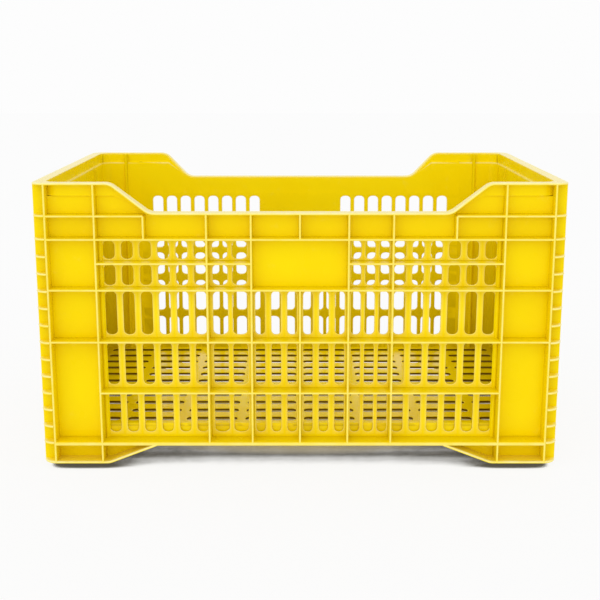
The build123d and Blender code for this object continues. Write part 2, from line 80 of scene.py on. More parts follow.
CAD_BOX = [list(corner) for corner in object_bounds()]
HALF_X, HALF_Y, HEIGHT = CAD_BOX[1]
POST_X = high("front_wall_lattice", 0)
POST_Y = high("left_end_wall", 1)
WALL_FOOT = low("front_left_post", 2)
FLOOR_UNDER = low("floor_grid", 2)
FLOOR_TOP = high("floor_grid", 2)
LABEL_X = high("front_label_panel", 0)
RIM_UNDER = low("left_end_rim", 2)
RIM = HEIGHT - RIM_UNDER
STRIP_INSET = HALF_X + low("left_end_wall", 0)
LEDGE_INSET = HALF_X + high("left_end_wall", 0)
RIM_INSET = HALF_X + high("left_end_rim", 0)
SKIN = RIM_INSET - STRIP_INSET
SHOULDER_INSET = LEDGE_INSET - SKIN
FLOOR_INSET = HALF_Y + high("front_left_side_skirt", 1) - SKIN
LEDGE_UNDER = high("front_left_post", 2)
LOW_RIM_UNDER = low("front_low_rim", 2)
LOW_RIM = high("front_low_rim", 2)
SILL_UNDER = low("front_rib_frame", 2)
FOOT_UNDER = low("front_left_end_skirt", 2)
ARCH_X = -high("front_left_side_skirt", 0)
ARCH_Y = -high("front_left_end_skirt", 1)
HAND_HALF = high("left_handhold_lip", 1)
HAND_FOOT = low("left_handhold_lip", 2)
HAND_HEAD = high("left_handhold_lip", 2)

LONG_SIDES = ("front", "back")
END_SIDES = ("left", "right")
SIDE_TURNS = {"front": 0.0, "right": math.pi / 2, "back": math.pi, "left": -math.pi / 2}
CORNERS = {
    "front_left": (-1, -1),
    "front_right": (1, -1),
    "back_right": (1, 1),
    "back_left": (-1, 1),
}

# Rows of slots in a wall, from the floor up
TALL_ROWS = 3
SHORT_ROWS = 2

# Points on the curves of corners, slots, rib crests and slopes
CORNER_POINTS = 9
SLOT_POINTS = 5
ROLL_POINTS = 3
CREST_POINTS = 7
FLANGE_POINTS = 9
NOTCH_POINTS = 7
ARCH_POINTS = 6
POST_STEPS = 4

# Points nearer than this are one, and edges sharper than this stay crisp
WELD = 2e-6
CRISP = math.radians(50)

# Shape of ribs and flanges, as shares of the skin's or of their own thickness
ROOT_SINK = 0.15
GUIDE_SINK = 0.8
CREST_ROUND = 0.45
FLANGE_SHAVE = 0.25
FLANGE_SOFT = 0.075
FLANGE_RUB = 1.8

# Corner ribs run inward by this share of the post's rounding, and corner plates keep this share of their
# radius open inside, so that their points stay apart
CORNER_TUCK = 0.6
PLATE_OPEN = 0.02

# Rounded share of half a wall slot's width
SLOT_END = 0.85

# Wear and painted light of the surface: above 0 paler, below 0 browner. The pale on rib crests, slot edges,
# flanges and the ledge is a painted highlight, and on the pads it is wear; the brown at rib roots, in slots
# and on the guides is painted shade
RIB_HIGHLIGHT_AND_SHADE = np.array([-0.4, -0.2, 0, 0.2, 0.5, 0.6, 0.5, 0.2, 0, -0.2, -0.4])
SLOT_EDGE_HIGHLIGHT = (0.2, 0.8)
FLANGE_TOP_HIGHLIGHT = (0.2, 0.4, 0.2, 0.1)
FLANGE_EDGE_HIGHLIGHT = 0.6
LEDGE_HIGHLIGHT = 0.8
GUIDE_SHADE = -0.1
PAD_WEAR = 0.3

# Roughness, strength of scratches and strength of the highlight of each finish
FINISHES = {
    # As moulded: an even, half-matt skin that glows more than it shines
    "Moulded HDPE": (0.28, 0.05, 0.06),
    # Rim and hand holds: polished by hands and by other crates, with a glint along the edges
    "Handled HDPE": (0.2, 0.15, 0.5),
    # Floor and feet: slid over and streaked with pale scratches
    "Scuffed HDPE": (0.18, 0.2, 0.12),
}


def length(name, description, millimetres):
    """Length property given in millimetres and kept in metres."""
    metres = millimetres / 1000
    return FloatProperty(name=name, description=description, default=metres, unit="LENGTH", precision=5)


def slant(name, description, degrees):
    """Angle property given in degrees and kept in radians."""
    return FloatProperty(name=name, description=description, default=math.radians(degrees), subtype="ANGLE")


def amount(name, description, default):
    """Plain number property, such as a strength or a share."""
    return FloatProperty(name=name, description=description, default=default)


def number_of(name, description, default):
    """Whole number property of at least one."""
    return IntProperty(name=name, description=description, default=default, min=1)


def tint(name, description, default):
    """Colour property, kept as an sRGB hex value."""
    return StringProperty(name=name, description=description, default=default)


class CrateWallSizes(bpy.types.PropertyGroup):
    """Slots and edges of the walls."""

    outer_count: number_of("Outer slots", "Slots beside each post", 6)
    outer_slot: length("Outer slot", "Width of the slots beside the posts", 13)
    outer_pitch: length("Outer pitch", "Spacing of the slots beside the posts", 20.6)
    middle_count: number_of("Middle slots", "Slots in the wide bays", 2)
    middle_slot: length("Middle slot", "Width of the slots beside the label", 16.8)
    middle_pitch: length("Middle pitch", "Spacing of the slots beside the label", 22.6)
    centre_count: number_of("Centre slots", "Slots in a narrow bay", 3)
    centre_slot: length("Centre slot", "Width of the slots under the label", 10.8)
    centre_pitch: length("Centre pitch", "Spacing of the slots under the label", 18.4)
    narrow_slot: length("Narrow slot", "Width of the slots right of the label", 11)
    narrow_pitch: length("Narrow pitch", "Spacing of the slots right of the label", 16)
    back_centre_slot: length("Back centre slot", "Width of the slots under the right of the back label", 13.4)
    back_count: number_of("Back slots", "Slots on each side of the back label", 8)
    back_slot: length("Back slot", "Width of the slots in the back wall", 14.4)
    back_pitch: length("Back pitch", "Spacing of the slots in the back wall", 20)
    back_margin: length("Back margin", "Plain skin beside a post on the back wall", 13)
    back_low_slot: length("Back low slot", "Height of the back wall's lowest slots over the wall's foot", 24)
    end_count: number_of("End slots", "Slots in each bay of an end wall", 3)
    end_slot: length("End slot", "Width of the slots in the end walls", 14)
    end_pitch: length("End pitch", "Spacing of the slots in the end walls", 21)
    slot_foot: length("Slot foot", "Skin left under a tall slot", 4)
    slot_head: length("Slot head", "Skin left over a tall slot, under the rib", 3)
    short_margin: length("Short slot margin", "Skin left under and over a short slot", 2)
    slot_corner: length("Slot corner", "Height of the rounded ends of a slot", 5.2)
    edge_round: length("Edge round", "Rounding where a slot breaks the skin", 0.9)
    post_margin: length("Post margin", "Plain skin beside a post", 4)
    corner_round: length("Corner round", "Outer rounding of the skin at a corner", 15)
    ledge_draft: length("Ledge draft", "Height over which the ledge steps out", 0.6)
    # Painted shade that darkens the walls low inside the crate
    inside_painted_light: amount("Inside dust", "Share of dust low inside the walls", 0.36)
    # Painted shade on the walls inside the slots
    slot_painted_shade: amount("Slot dust", "Share of dust inside the walls' slots", 0.5)


class CrateRibSizes(bpy.types.PropertyGroup):
    """Ribs of the walls, posts and corners."""

    rib: length("Rib", "Thickness of a rib at its edge", 2.4)
    sill: length("Sill", "Thickness of the lowest level rib", 4.4)
    draft: length("Draft", "Growth of a rib on each side toward its root", 0.25)
    root_round: length("Root round", "Fillet where a rib meets the skin", 0.7)
    bay_rib: length("Bay rib", "Distance of the bay ribs from the middle", 105)
    back_bay_rib: length("Back bay rib", "Distance of the back wall's bay ribs from the middle", 116)
    back_row: length("Back row", "Height of the rows of slots on the back wall", 41)
    back_tall_row: length("Back tall row", "Height of the second row of slots on the back wall", 54)
    band_gap: length("Band rib gap", "Distance of the upper rib from the post", 54.5)
    end_bay_rib: length("End bay rib", "Distance of the end bay ribs from the middle", 35)
    end_band_rib: length("End band rib", "Distance of the ribs beside the hand hold from the middle", 78)
    short_row: length("Short row", "Height of the highest row of slots", 27.5)
    corner_rib: length("Corner rib", "Distance of a corner rib from the outer face", 15.2)
    corner_steps: number_of("Corner steps", "Spaces between the corner plates", 12)
    step_width: length("Post step width", "Width of the step beside a post rib", 4.5)
    step_height: length("Post step height", "How far that step stands out of the skin", 3)
    guide: length("Guide", "Width and depth of the stacking guides inside", 4)
    guide_place: length("Guide place", "Distance of the long wall guides from the post edge", 21)


class CrateRimSizes(bpy.types.PropertyGroup):
    """Rim, notches, hand holds and feet."""

    front_shoulder: length("Front shoulder", "Level run from the post to the front notch", 19)
    front_slope: length("Front slope", "Width of the slope of the front notch", 43)
    back_shoulder: length("Back shoulder", "Level run from the post to the back notch", 37)
    back_slope: length("Back slope", "Width of the slope of the back notch", 32)
    notch_round: length("Notch round", "Rounding of the notch's corners", 18)
    corner_round: length("Rim corner", "Outer rounding of the rim in plan", 16)
    hand_lip: length("Hand lip", "Thickness of the lip round a hand hold", 3)
    hand_round: length("Hand round", "Rounding of the hand hold's corners", 11)
    foot_flange: length("Foot flange", "Width of the flange under a post", 36)
    arch_start: length("Arch start", "Level run from the post to an arch", 8)
    arch_round: length("Arch round", "Rounding where an arch starts to rise", 20)
    pad_inset: length("Pad inset", "Distance of the foot pad from the outer face", 21)
    pad_width: length("Pad width", "Width of the foot pad", 13)
    pad_gap: length("Pad gap", "Distance of the foot pad's ends from the post edge", 1)
    pad_draft: length("Pad draft", "How much a foot pad narrows on each side", 2)
    pad_round: length("Pad round", "Rounding of the foot pad's lower edges", 1.2)


class CrateFloorSizes(bpy.types.PropertyGroup):
    """Slots of the floor."""

    columns: number_of("Columns", "Slots along the crate", 8)
    rows: number_of("Rows", "Slots across the crate", 11)
    slot_length: length("Slot length", "Length of a floor slot", 60)
    slot_width: length("Slot width", "Width of a floor slot", 13)
    column_pitch: length("Column pitch", "Spacing of the slots along the crate", 70)
    row_pitch: length("Row pitch", "Spacing of the slots across the crate", 31.7)
    slot_round: length("Slot round", "Rounding of a floor slot's corners", 5)
    border_inset: length("Border inset", "Distance of the rib under the floor from the floor's edge", 1)
    border_rib: length("Border rib", "Thickness of the rib under the floor's border", 2.4)
    border_drop: length("Border drop", "How far that rib hangs below the floor", 9)
    # Painted shade that darkens the floor toward its ends and inside its slots
    end_shade_reach: length("Dust reach", "Length of floor at each end on which dust gathers", 110)
    end_painted_shade: amount("End dust", "Share of dust at the ends of the floor", 0.45)
    slot_painted_shade: amount("Slot dust", "Share of dust inside the floor's slots", 1.0)


class CrateColours(bpy.types.PropertyGroup):
    """Colours of the moulding and of the studio, as sRGB hex values."""

    body: tint("Body", "Yellow of a clean wall", "#FDE602")
    deep: tint("Deep", "Warmer yellow where the skin is thick", "#FADC00")
    # Pale is the colour of painted highlights on edges, crests and the ledge, and of scratches and wear
    pale: tint("Pale", "Bleached yellow of rubbed edges", "#FFFDCC")
    # This brown is painted shade
    shade_brown: tint("Dusty", "Brown of dust kept in corners and slots", "#6E5200")
    backdrop: tint("Backdrop", "White of floor and background", "#FDFDFD")
    flow_cloud: length("Flow cloud", "Size of the faint clouds left by the flow of the plastic", 60)
    # Patches that break up the painted highlights and place the scratches
    highlight_and_rub_patch: length("Rub patch", "Size of the patches in which edges are rubbed", 18)
    grain: length("Grain", "Size of the mould's grain, drawn coarser than it is so that it shows", 1.2)
    grain_height: length("Grain height", "Height of that grain", 0.2)
    grain_strength: amount("Grain strength", "Strength of that grain", 0.05)
    sheen_spread: amount("Sheen spread", "Change of roughness from cloud to cloud", 0.05)
    scratch_from: amount("Scratch from", "Rub pattern value where scratches start", 0.62)
    scratch_to: amount("Scratch to", "Rub pattern value where scratches are full", 0.8)


class CrateStageSizes(bpy.types.PropertyGroup):
    """Camera and light of the studio."""

    camera_back: length("Camera distance", "Distance of the camera from the crate's middle", 1431.9)
    camera_up: length("Camera height", "Height of the camera over the floor", 474.4)
    camera_pitch: slant("Pitch", "How far the camera looks down", 12.39)
    sensor: amount("Sensor", "Width of the camera's sensor in millimetres", 36)
    lens: amount("Lens", "Focal length in millimetres on that sensor", 66.95)
    floor_size: length("Floor size", "Side of the studio floor", 16000)
    paper: amount("Paper", "Share of light that the studio paper gives back", 0.95)
    paper_glow: amount("Paper glow", "Share of the floor that is seen as plain white paper", 0.9)
    bounce: amount("Bounce", "Share of that white which lights the crate", 0.7)
    contact: length("Contact", "Reach of the dark under the crate", 1000)
    shade_from: amount("Shade from", "Open share of the sky where the contact shade is deepest", 0.16)
    shade_to: amount("Shade to", "Open share of the sky where the paper is plain", 0.26)
    deepest: amount("Deepest shade", "Brightness of the deepest contact shade", 0.06)
    under_edge: length("Under edge", "Paper inside the long walls that still looks plain", 50)
    under_start: amount("Under start", "Share of the way out to that edge where it is darkest", 0.75)
    sky: amount("Sky", "Strength of the even white light around", 0.81)
    lamp: amount("Lamp", "Strength of the soft lamp", 0.77)
    lamp_angle: slant("Lamp width", "Apparent width of the soft lamp", 80)
    lamp_tilt: slant("Lamp tilt", "Angle of the lamp from straight above", 58)
    lamp_turn: slant("Lamp turn", "Turn of the lamp to the left of the camera", 15)


def skin_depth(side, z, share):
    """Depth of a wall's skin behind the outer face at height z.

    Straight lines between known heights: the wall leans out from the floor to the ledge, steps out at the
    ledge and rises upright to the rim. Share 0 is the outer face and 1 the inner face.
    """
    draft = bpy.context.scene.crate_walls.ledge_draft
    foot = FLOOR_INSET if side in LONG_SIDES else SHOULDER_INSET
    ledge_top = LEDGE_UNDER + SKIN
    outer = np.interp(z, [WALL_FOOT, LEDGE_UNDER, LEDGE_UNDER + draft], [foot, SHOULDER_INSET, STRIP_INSET])
    inner = np.interp(z, [WALL_FOOT, ledge_top, ledge_top + draft], [foot + SKIN, LEDGE_INSET, RIM_INSET])
    return outer + share * (inner - outer)


def on_side(side, u, depth, z):
    """World points from a place along a side, left to right seen from outside, a depth and a height."""
    half = HALF_Y if side in LONG_SIDES else HALF_X
    turn = SIDE_TURNS[side]
    u, out, z = np.broadcast_arrays(u, np.asarray(depth) - half, z)
    x = u * math.cos(turn) - out * math.sin(turn)
    y = u * math.sin(turn) + out * math.cos(turn)
    return np.stack([x, y, z], axis=-1)


def inside_painted_light(points):
    """Painted light inside the crate: a painted highlight on the ledge, and below the lowered rim painted
    shade that darkens down to the floor.
    """
    z = points[..., 2]
    painted_shade = -bpy.context.scene.crate_walls.inside_painted_light * np.clip((LOW_RIM - z) / (LOW_RIM - FLOOR_TOP), 0, 1)
    on_ledge = np.abs(z - LEDGE_UNDER - SKIN) < RIM / 10
    return np.where(on_ledge, LEDGE_HIGHLIGHT, painted_shade)


class Moulding:
    """Grids of points gathered into one piece, with the wear and painted light of each point."""

    def __init__(self):
        self.points = []
        self.wear_and_painted_light = []
        self.faces = []
        self.total = 0

    def add(self, points, wear_and_painted_light=0.0, closed=False, capped=False):
        """Adds grids of points shaped (..., rows, columns, 3); closed joins the last column to the first."""
        points = np.asarray(points).reshape((-1,) + points.shape[-3:])
        index = self.total + np.arange(points[..., 0].size).reshape(points.shape[:3])
        here = index if closed else index[:, :, :-1]
        after = np.roll(index, -1, axis=2) if closed else index[:, :, 1:]
        quads = np.stack([here[:, :-1], after[:, :-1], after[:, 1:], here[:, 1:]], axis=-1)
        self.faces += quads.reshape(-1, 4).tolist()
        if capped:
            self.faces += index[:, 0, ::-1].tolist() + index[:, -1].tolist()
        self.points.append(points.reshape(-1, 3))
        self.wear_and_painted_light.append(np.broadcast_to(wear_and_painted_light, points.shape[:3]).reshape(-1))
        self.total += index.size

    def add_sheet(self, outer, inner):
        """Closed plate between an outer and an inner grid of the same shape, with painted shade low inside
        and a painted highlight on the ledge.
        """
        self.add(outer)
        self.add(inner, inside_painted_light(inner))
        for edge in (np.s_[0], np.s_[-1], np.s_[:, 0], np.s_[:, -1]):
            self.add(np.stack([outer[edge], inner[edge]]))

    def finish(self, name, material, nodes, merged=False):
        """Makes the piece, smooth with crisp edges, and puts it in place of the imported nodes."""
        mesh = bpy.data.meshes.new(name)
        mesh.from_pydata(np.concatenate(self.points).tolist(), [], self.faces)
        wear_and_painted_light = mesh.attributes.new("wear_and_painted_light", "FLOAT", "POINT")
        wear_and_painted_light.data.foreach_set("value", np.concatenate(self.wear_and_painted_light).astype(np.float32))
        body = bmesh.new()
        body.from_mesh(mesh)
        if merged:
            bmesh.ops.remove_doubles(body, verts=body.verts, dist=WELD)
            bmesh.ops.dissolve_degenerate(body, edges=body.edges, dist=WELD)
        bmesh.ops.recalc_face_normals(body, faces=body.faces)
        body.to_mesh(mesh)
        body.free()
        mesh.shade_smooth()
        mesh.set_sharp_from_angle(angle=CRISP)
        piece = bpy.data.objects.new(name, mesh)
        bpy.context.scene.collection.objects.link(piece)
        mesh.materials.append(bpy.data.materials[material])
        piece.modifiers.new("Even shading", "WEIGHTED_NORMAL").keep_sharp = True
        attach(piece, "root")
        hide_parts(*nodes)


def cell_lines(cells):
    """Grid lines over a row of slot cells, so that plain cells share their points with slotted ones."""
    start, end, centre, half, corner = (column[:, None] for column in cells.T)
    reach = np.tan(np.linspace(0, math.pi / 4, (SLOT_POINTS + 1) // 2))
    left = centre - half + corner
    right = centre + half - corner
    return np.concatenate([left + reach[::-1] * (start - left), right + reach * (end - right)], axis=1)


def round_corners(points):
    """Angles round a rounded rectangle, a quarter turn at each corner, and the signs of each corner."""
    quarter = np.arange(4)[:, None] * math.pi / 2
    angle = (quarter + np.linspace(0, math.pi / 2, points)).reshape(-1)
    return angle, [np.repeat(values, points) for values in ([1, -1, -1, 1], [1, 1, -1, -1])]


def slotted_sheet(moulding, columns, rows, slotted, place, thick, painted_shade):
    """Plate of cells with rounded slots.

    Columns and rows list each cell's start, end, slot centre, half width and corner. Round a slot the
    points follow a rounded rectangle, corner centre plus radius times (cosine, sine); the cell's border is
    the same angle carried out to its rectangle. Between them the edge rolls over on a quarter circle,
    through the wall and out on the other face. Place turns (across, up, share of thickness) into points.
    """
    edge = bpy.context.scene.crate_walls.edge_round
    angle, sign = round_corners(SLOT_POINTS)
    circle = [np.cos(angle), np.sin(angle)]
    widest = np.maximum(np.abs(circle[0]), np.abs(circle[1]))
    row_number, column_number = np.nonzero(slotted)
    border, middle, corner = [], [], []
    for axis, cells in enumerate((columns[column_number], rows[row_number])):
        start, end, centre, half, radius = (column[:, None] for column in cells.T)
        middle.append(centre + sign[axis] * (half - radius))
        outside = np.where(sign[axis] > 0, end, start)
        border.append(middle[axis] + np.abs(circle[axis]) / widest * (outside - middle[axis]))
        corner.append(radius)
    roll = np.linspace(0, math.pi / 2, ROLL_POINTS)
    grow = edge * (1 - np.sin(roll))
    sink = edge * (1 - np.cos(roll)) / thick
    grow = np.concatenate([grow, grow[::-1]])[:, None]
    share = np.concatenate([[0], sink, 1 - sink[::-1], [1]])[:, None]
    across, up = (
        np.concatenate([
            border[axis][:, None],
            middle[axis][:, None] + (corner[axis][:, None] + grow) * circle[axis],
            border[axis][:, None],
        ], axis=1)
        for axis in (0, 1)
    )
    # Painted highlight on the slot's rounded edge and painted shade on the walls inside the slot
    wear_and_painted_light = np.array([0, *SLOT_EDGE_HIGHLIGHT, -painted_shade, -painted_shade, SLOT_EDGE_HIGHLIGHT[1], 0, 0])[:, None]
    points = place(across, up, share)
    moulding.add(points, np.where(wear_and_painted_light == 0, share * inside_painted_light(points), wear_and_painted_light), closed=True)
    across_lines, up_lines = cell_lines(columns), cell_lines(rows)
    row_number, column_number = np.nonzero(~slotted)
    across, up = across_lines.reshape(-1), up_lines.reshape(-1)
    plain_across = across_lines[column_number][:, None, :]
    plain_up = up_lines[row_number][:, :, None]
    for face in (0.0, 1.0):
        points = place(plain_across, plain_up, face)
        moulding.add(points, face * inside_painted_light(points))
    both = np.array([[0.0], [1.0]])
    for line in (up[0], up[-1]):
        moulding.add(place(across, line, both))
    for line in (across[0], across[-1]):
        moulding.add(place(line, up, both))


def wall_place(side):
    """Function from a place along a side, a height and a share of the skin's thickness to points."""
    return lambda u, z, share: on_side(side, u, skin_depth(side, z, share), z)


def skin_sheet(moulding, side, u, z, lowest, highest):
    """Plain skin over lines u and z, its heights held between a lowest and a highest line along u."""
    u, z = np.meshgrid(u, z)
    z = np.clip(z, lowest(u), highest(u))
    moulding.add_sheet(*(wall_place(side)(u, z, share) for share in (0, 1)))


def rib_profile(thick):
    """Section of a rib: a half-round crest on a sine, drafted flanks and a root fillet.

    Gives for each point its place across the rib, its distance from the crest, its distance from the root,
    and 1 where it is measured from the root or 0 where it is measured from the crest.
    """
    sizes = bpy.context.scene.crate_ribs
    turn = np.linspace(math.pi, 0, CREST_POINTS)
    crest = CREST_ROUND * thick * (1 - np.sin(turn))
    flank = thick / 2 + sizes.draft
    flare = flank + sizes.root_round
    across = np.concatenate([[-flare, -flank], thick / 2 * np.cos(turn), [flank, flare]])
    from_crest = np.concatenate([[0, 0], crest, [0, 0]])
    from_root = np.array([0.0, sizes.root_round] + [0] * len(turn) + [sizes.root_round, 0.0])
    at_root = np.array([1.0, 1] + [0] * len(turn) + [1, 1])
    return across, from_crest, from_root, at_root


def add_ribs(moulding, side, start, end, thick, upright, crest=0.0, root=None, wear_and_painted_light=RIB_HIGHLIGHT_AND_SHADE):
    """Straight ribs on a side: a rib profile carried from start to end.

    Start and end are arrays of (u, z) middles. Crest is the depth of the outer edge and root the depth of
    the skin, which by itself is the skin at each end of the rib.
    """
    line = np.stack([np.asarray(start, float), np.asarray(end, float)], axis=-2)
    line = line.reshape(-1, 2, 2)
    across, from_crest, from_root, at_root = rib_profile(thick)
    u, z = line[..., 0, None], line[..., 1, None]
    if root is None:
        root = skin_depth(side, z, ROOT_SINK)
    else:
        root = np.broadcast_to(np.asarray(root, float), line[..., 0].shape)[..., None]
    crest = np.broadcast_to(np.asarray(crest, float), line[..., 0].shape)[..., None]
    way = np.sign(root - crest)
    depth = np.where(at_root > 0, root - way * from_root, crest + way * from_crest)
    if upright:
        points = on_side(side, u + across, depth, z)
    else:
        points = on_side(side, u, depth, z + across)
    moulding.add(points, wear_and_painted_light, closed=True, capped=True)


def flange(moulding, outer, inner, normal, thick, closed):
    """Flange along a path: at each station a flat bar from the outer to the inner point, under the normal.

    The outer edge is a half circle as thick as the flange and the inner edge has its top corner rounded.
    """
    turn = np.linspace(math.pi / 2, 3 * math.pi / 2, FLANGE_POINTS)
    radius, shave, soft = thick / 2, FLANGE_SHAVE * thick, FLANGE_SOFT * thick
    share = np.array([1, 1, 1, 0] + [0] * len(turn) + [1])
    along = np.concatenate([[0, -soft, -shave, FLANGE_RUB * thick], radius + radius * np.cos(turn), [0]])
    drop = np.concatenate([[-shave, -soft, 0, 0], radius * np.sin(turn) - radius, [-thick]])
    way = inner - outer
    width = np.linalg.norm(way, axis=-1, keepdims=True)
    reach = share[:, None] * width[..., None] + along[:, None]
    points = outer[:, None] + (way / width)[:, None] * reach + normal[:, None] * drop[:, None]
    # Painted highlight along the flange's top and its rounded outer edge
    wear_and_painted_light = np.concatenate([FLANGE_TOP_HIGHLIGHT, np.clip(np.sin(turn) + FLANGE_EDGE_HIGHLIGHT, 0, 1), [0]])
    if closed:
        points = np.concatenate([points, points[:1]])
    moulding.add(points, wear_and_painted_light, closed=True, capped=not closed)


def notch_line(side):
    """Top line of a long wall's rim as (u, z): level, a rounded slope down and the level middle, mirrored.

    Both roundings are arcs of the same radius that touch the level and the sloped lines.
    """
    sizes = bpy.context.scene.crate_rim
    shoulder, run = sizes.front_shoulder, sizes.front_slope
    if side == "back":
        shoulder, run = sizes.back_shoulder, sizes.back_slope
    radius = sizes.notch_round
    slope = math.atan2(HEIGHT - LOW_RIM, run)
    touch = radius * math.tan(slope / 2)
    top, bottom = shoulder - POST_X, shoulder + run - POST_X
    turn = np.linspace(0, slope, NOTCH_POINTS)
    fall = np.stack([top - touch + radius * np.sin(turn), HEIGHT - radius * (1 - np.cos(turn))])
    rise = np.stack([bottom + touch - radius * np.sin(turn), LOW_RIM + radius * (1 - np.cos(turn))])
    ends = np.array([[-POST_X], [HEIGHT]]), np.array([[0.0], [LOW_RIM]])
    half = np.concatenate([ends[0], fall, rise[:, ::-1], ends[1]], axis=1)
    return np.concatenate([half, half[:, -2::-1] * [[-1], [1]]], axis=1)


def rim_normal(line):
    """Upward normal of a rim line at each of its points, as (u, z)."""
    along = np.gradient(line, axis=1)
    return np.stack([-along[1], along[0]]) / np.linalg.norm(along, axis=0)


def arch_line():
    """Underside of an arch as (distance from the post edge, z), from the foot to the sill."""
    sizes = bpy.context.scene.crate_rim
    rise, run = SILL_UNDER - FOOT_UNDER, POST_X - ARCH_X - sizes.arch_start
    radius, slope = sizes.arch_round, math.atan2(rise, run)
    turn = np.linspace(0, slope, ARCH_POINTS)
    first = sizes.arch_start - radius * math.tan(slope / 2)
    arc = np.stack([first + radius * np.sin(turn), FOOT_UNDER + radius * (1 - np.cos(turn))])
    return np.concatenate([[[0], [FOOT_UNDER]], arc, [[sizes.arch_start + run], [SILL_UNDER]]], axis=1)


def base_line(post_edge):
    """Height of the skin's lower edge along a side whose posts start at the given distance."""
    away, z = arch_line()
    return lambda u: np.interp(post_edge - np.abs(u), away, z) + RIM / 2


def bay_cells(start, end, width, pitch, count, margin=0.0, corner=SLOT_END):
    """Slot cells of one bay: start, end, slot centre, half width and corner of each.

    The slots are spread evenly about the middle of the bay less its margin, and the borders of the cells lie
    midway between neighbouring slots. Corner is the rounded share of half a slot's width.
    """
    centre = (start + end - margin) / 2 + (np.arange(count) - (count - 1) / 2) * pitch
    between = (centre[1:] + centre[:-1]) / 2
    half = np.full(count, width / 2)
    return np.stack([np.append(start, between), np.append(between, end), centre, half, corner * half], axis=1)


def mirrored(cells):
    """Cells of the other half of a wall, from left to right."""
    return cells[::-1, [1, 0, 2, 3, 4]] * [-1, -1, -1, 1, 1]


def wall_levels(side):
    """Tops of a side's level ribs: two in the tall rows, label foot, short rib and band foot."""
    ribs = bpy.context.scene.crate_ribs
    label = "back_label_panel" if side == "back" else "front_label_panel"
    foot, head = low(label, 2), high(label, 2)
    if side == "back":
        second = foot - ribs.back_row
        return np.array([second - ribs.back_tall_row, second, foot, foot + ribs.back_row, head])
    tall = np.linspace(SILL_UNDER + ribs.sill, foot, TALL_ROWS + 1)
    return np.concatenate([tall[1:], [head - ribs.short_row, head]])


def slot_rows(side):
    """Cells of a side's rows of slots between its level ribs, with skin left under and over each slot."""
    walls, ribs = bpy.context.scene.crate_walls, bpy.context.scene.crate_ribs
    heads = wall_levels(side)
    feet = np.append(WALL_FOOT, heads[:-1])
    first = walls.back_low_slot if side == "back" else walls.slot_foot
    short = [walls.short_margin] * SHORT_ROWS
    slot_foot = feet + ([first] + [walls.slot_foot] * (TALL_ROWS - 1) + short)
    slot_head = heads - ribs.rib - ([walls.slot_head] * TALL_ROWS + short)
    corner = np.full(len(feet), walls.slot_corner)
    return np.stack([feet, heads, (slot_foot + slot_head) / 2, (slot_head - slot_foot) / 2, corner], axis=1)


def ledge_lines():
    """Heights at which a skin steps out for the ledge, then meets the rim."""
    draft = bpy.context.scene.crate_walls.ledge_draft
    ledge_top = LEDGE_UNDER + SKIN
    return np.array([LEDGE_UNDER, LEDGE_UNDER + draft, ledge_top, ledge_top + draft, RIM_UNDER])


def add_lower_skin(moulding, side, post_edge, arch_edge):
    """Skin under the floor of one side, following the arches."""
    away = np.unique(np.concatenate([post_edge - arch_line()[0], [arch_edge, 0]]))
    u = np.concatenate([-away[::-1], away[1:]])
    skin_sheet(moulding, side, u, [0, WALL_FOOT], base_line(post_edge), lambda place: WALL_FOOT + 0 * place)


class CRATE_OT_long_walls(bpy.types.Operator):
    """Build the slotted skins of the two long walls"""

    bl_idname = "crate.long_walls"
    bl_label = "Long walls"

    def execute(self, context):
        walls, ribs = context.scene.crate_walls, context.scene.crate_ribs
        middle = (walls.middle_slot, walls.middle_pitch, walls.middle_count)
        outside = (walls.outer_slot, walls.outer_pitch, walls.outer_count, walls.post_margin)
        behind = (walls.back_slot, walls.back_pitch, walls.back_count, walls.back_margin)
        centre, back_centre = (
            bay_cells(0, LABEL_X, width, walls.centre_pitch, walls.centre_count)
            for width in (walls.centre_slot, walls.back_centre_slot)
        )
        wide = bay_cells(LABEL_X, ribs.bay_rib, *middle)
        narrow = bay_cells(LABEL_X, ribs.bay_rib, walls.narrow_slot, walls.narrow_pitch, walls.centre_count)
        outer = bay_cells(ribs.bay_rib, POST_X, *outside)
        back = bay_cells(LABEL_X, POST_X, *behind)
        back_wide = bay_cells(0, LABEL_X, *middle)
        bays = {
            "front": [mirrored(outer), mirrored(wide), mirrored(centre), centre, narrow, outer],
            "back": [mirrored(back), mirrored(back_centre), back_wide, back],
        }
        for side in LONG_SIDES:
            columns = np.concatenate(bays[side])
            rows = slot_rows(side)
            label = (np.abs(columns[:, 2]) < LABEL_X) & (np.arange(len(rows)) >= TALL_ROWS)[:, None]
            band_foot = rows[-1, 1]
            skin = Moulding()
            slotted_sheet(skin, columns, rows, ~label, wall_place(side), SKIN, walls.slot_painted_shade)
            under = notch_line(side) - RIM * rim_normal(notch_line(side))
            under[0] = np.clip(under[0], -POST_X, POST_X)
            upper = np.concatenate([[band_foot, (band_foot + LOW_RIM) / 2], ledge_lines()])
            skin_sheet(
                skin, side, under[0], upper, lambda u: band_foot + 0 * u, lambda u: np.interp(u, *under),
            )
            add_lower_skin(skin, side, POST_X, ARCH_X)
            parts = ["wall_lattice", "label_panel", "upper_band", "left_shoulder", "right_shoulder"]
            parts += ["left_side_skirt", "right_side_skirt"]
            nodes = [f"{side}_{part}" for part in parts]
            skin.finish(side + "_wall_skin", "Moulded HDPE", nodes, merged=True)
        return {"FINISHED"}


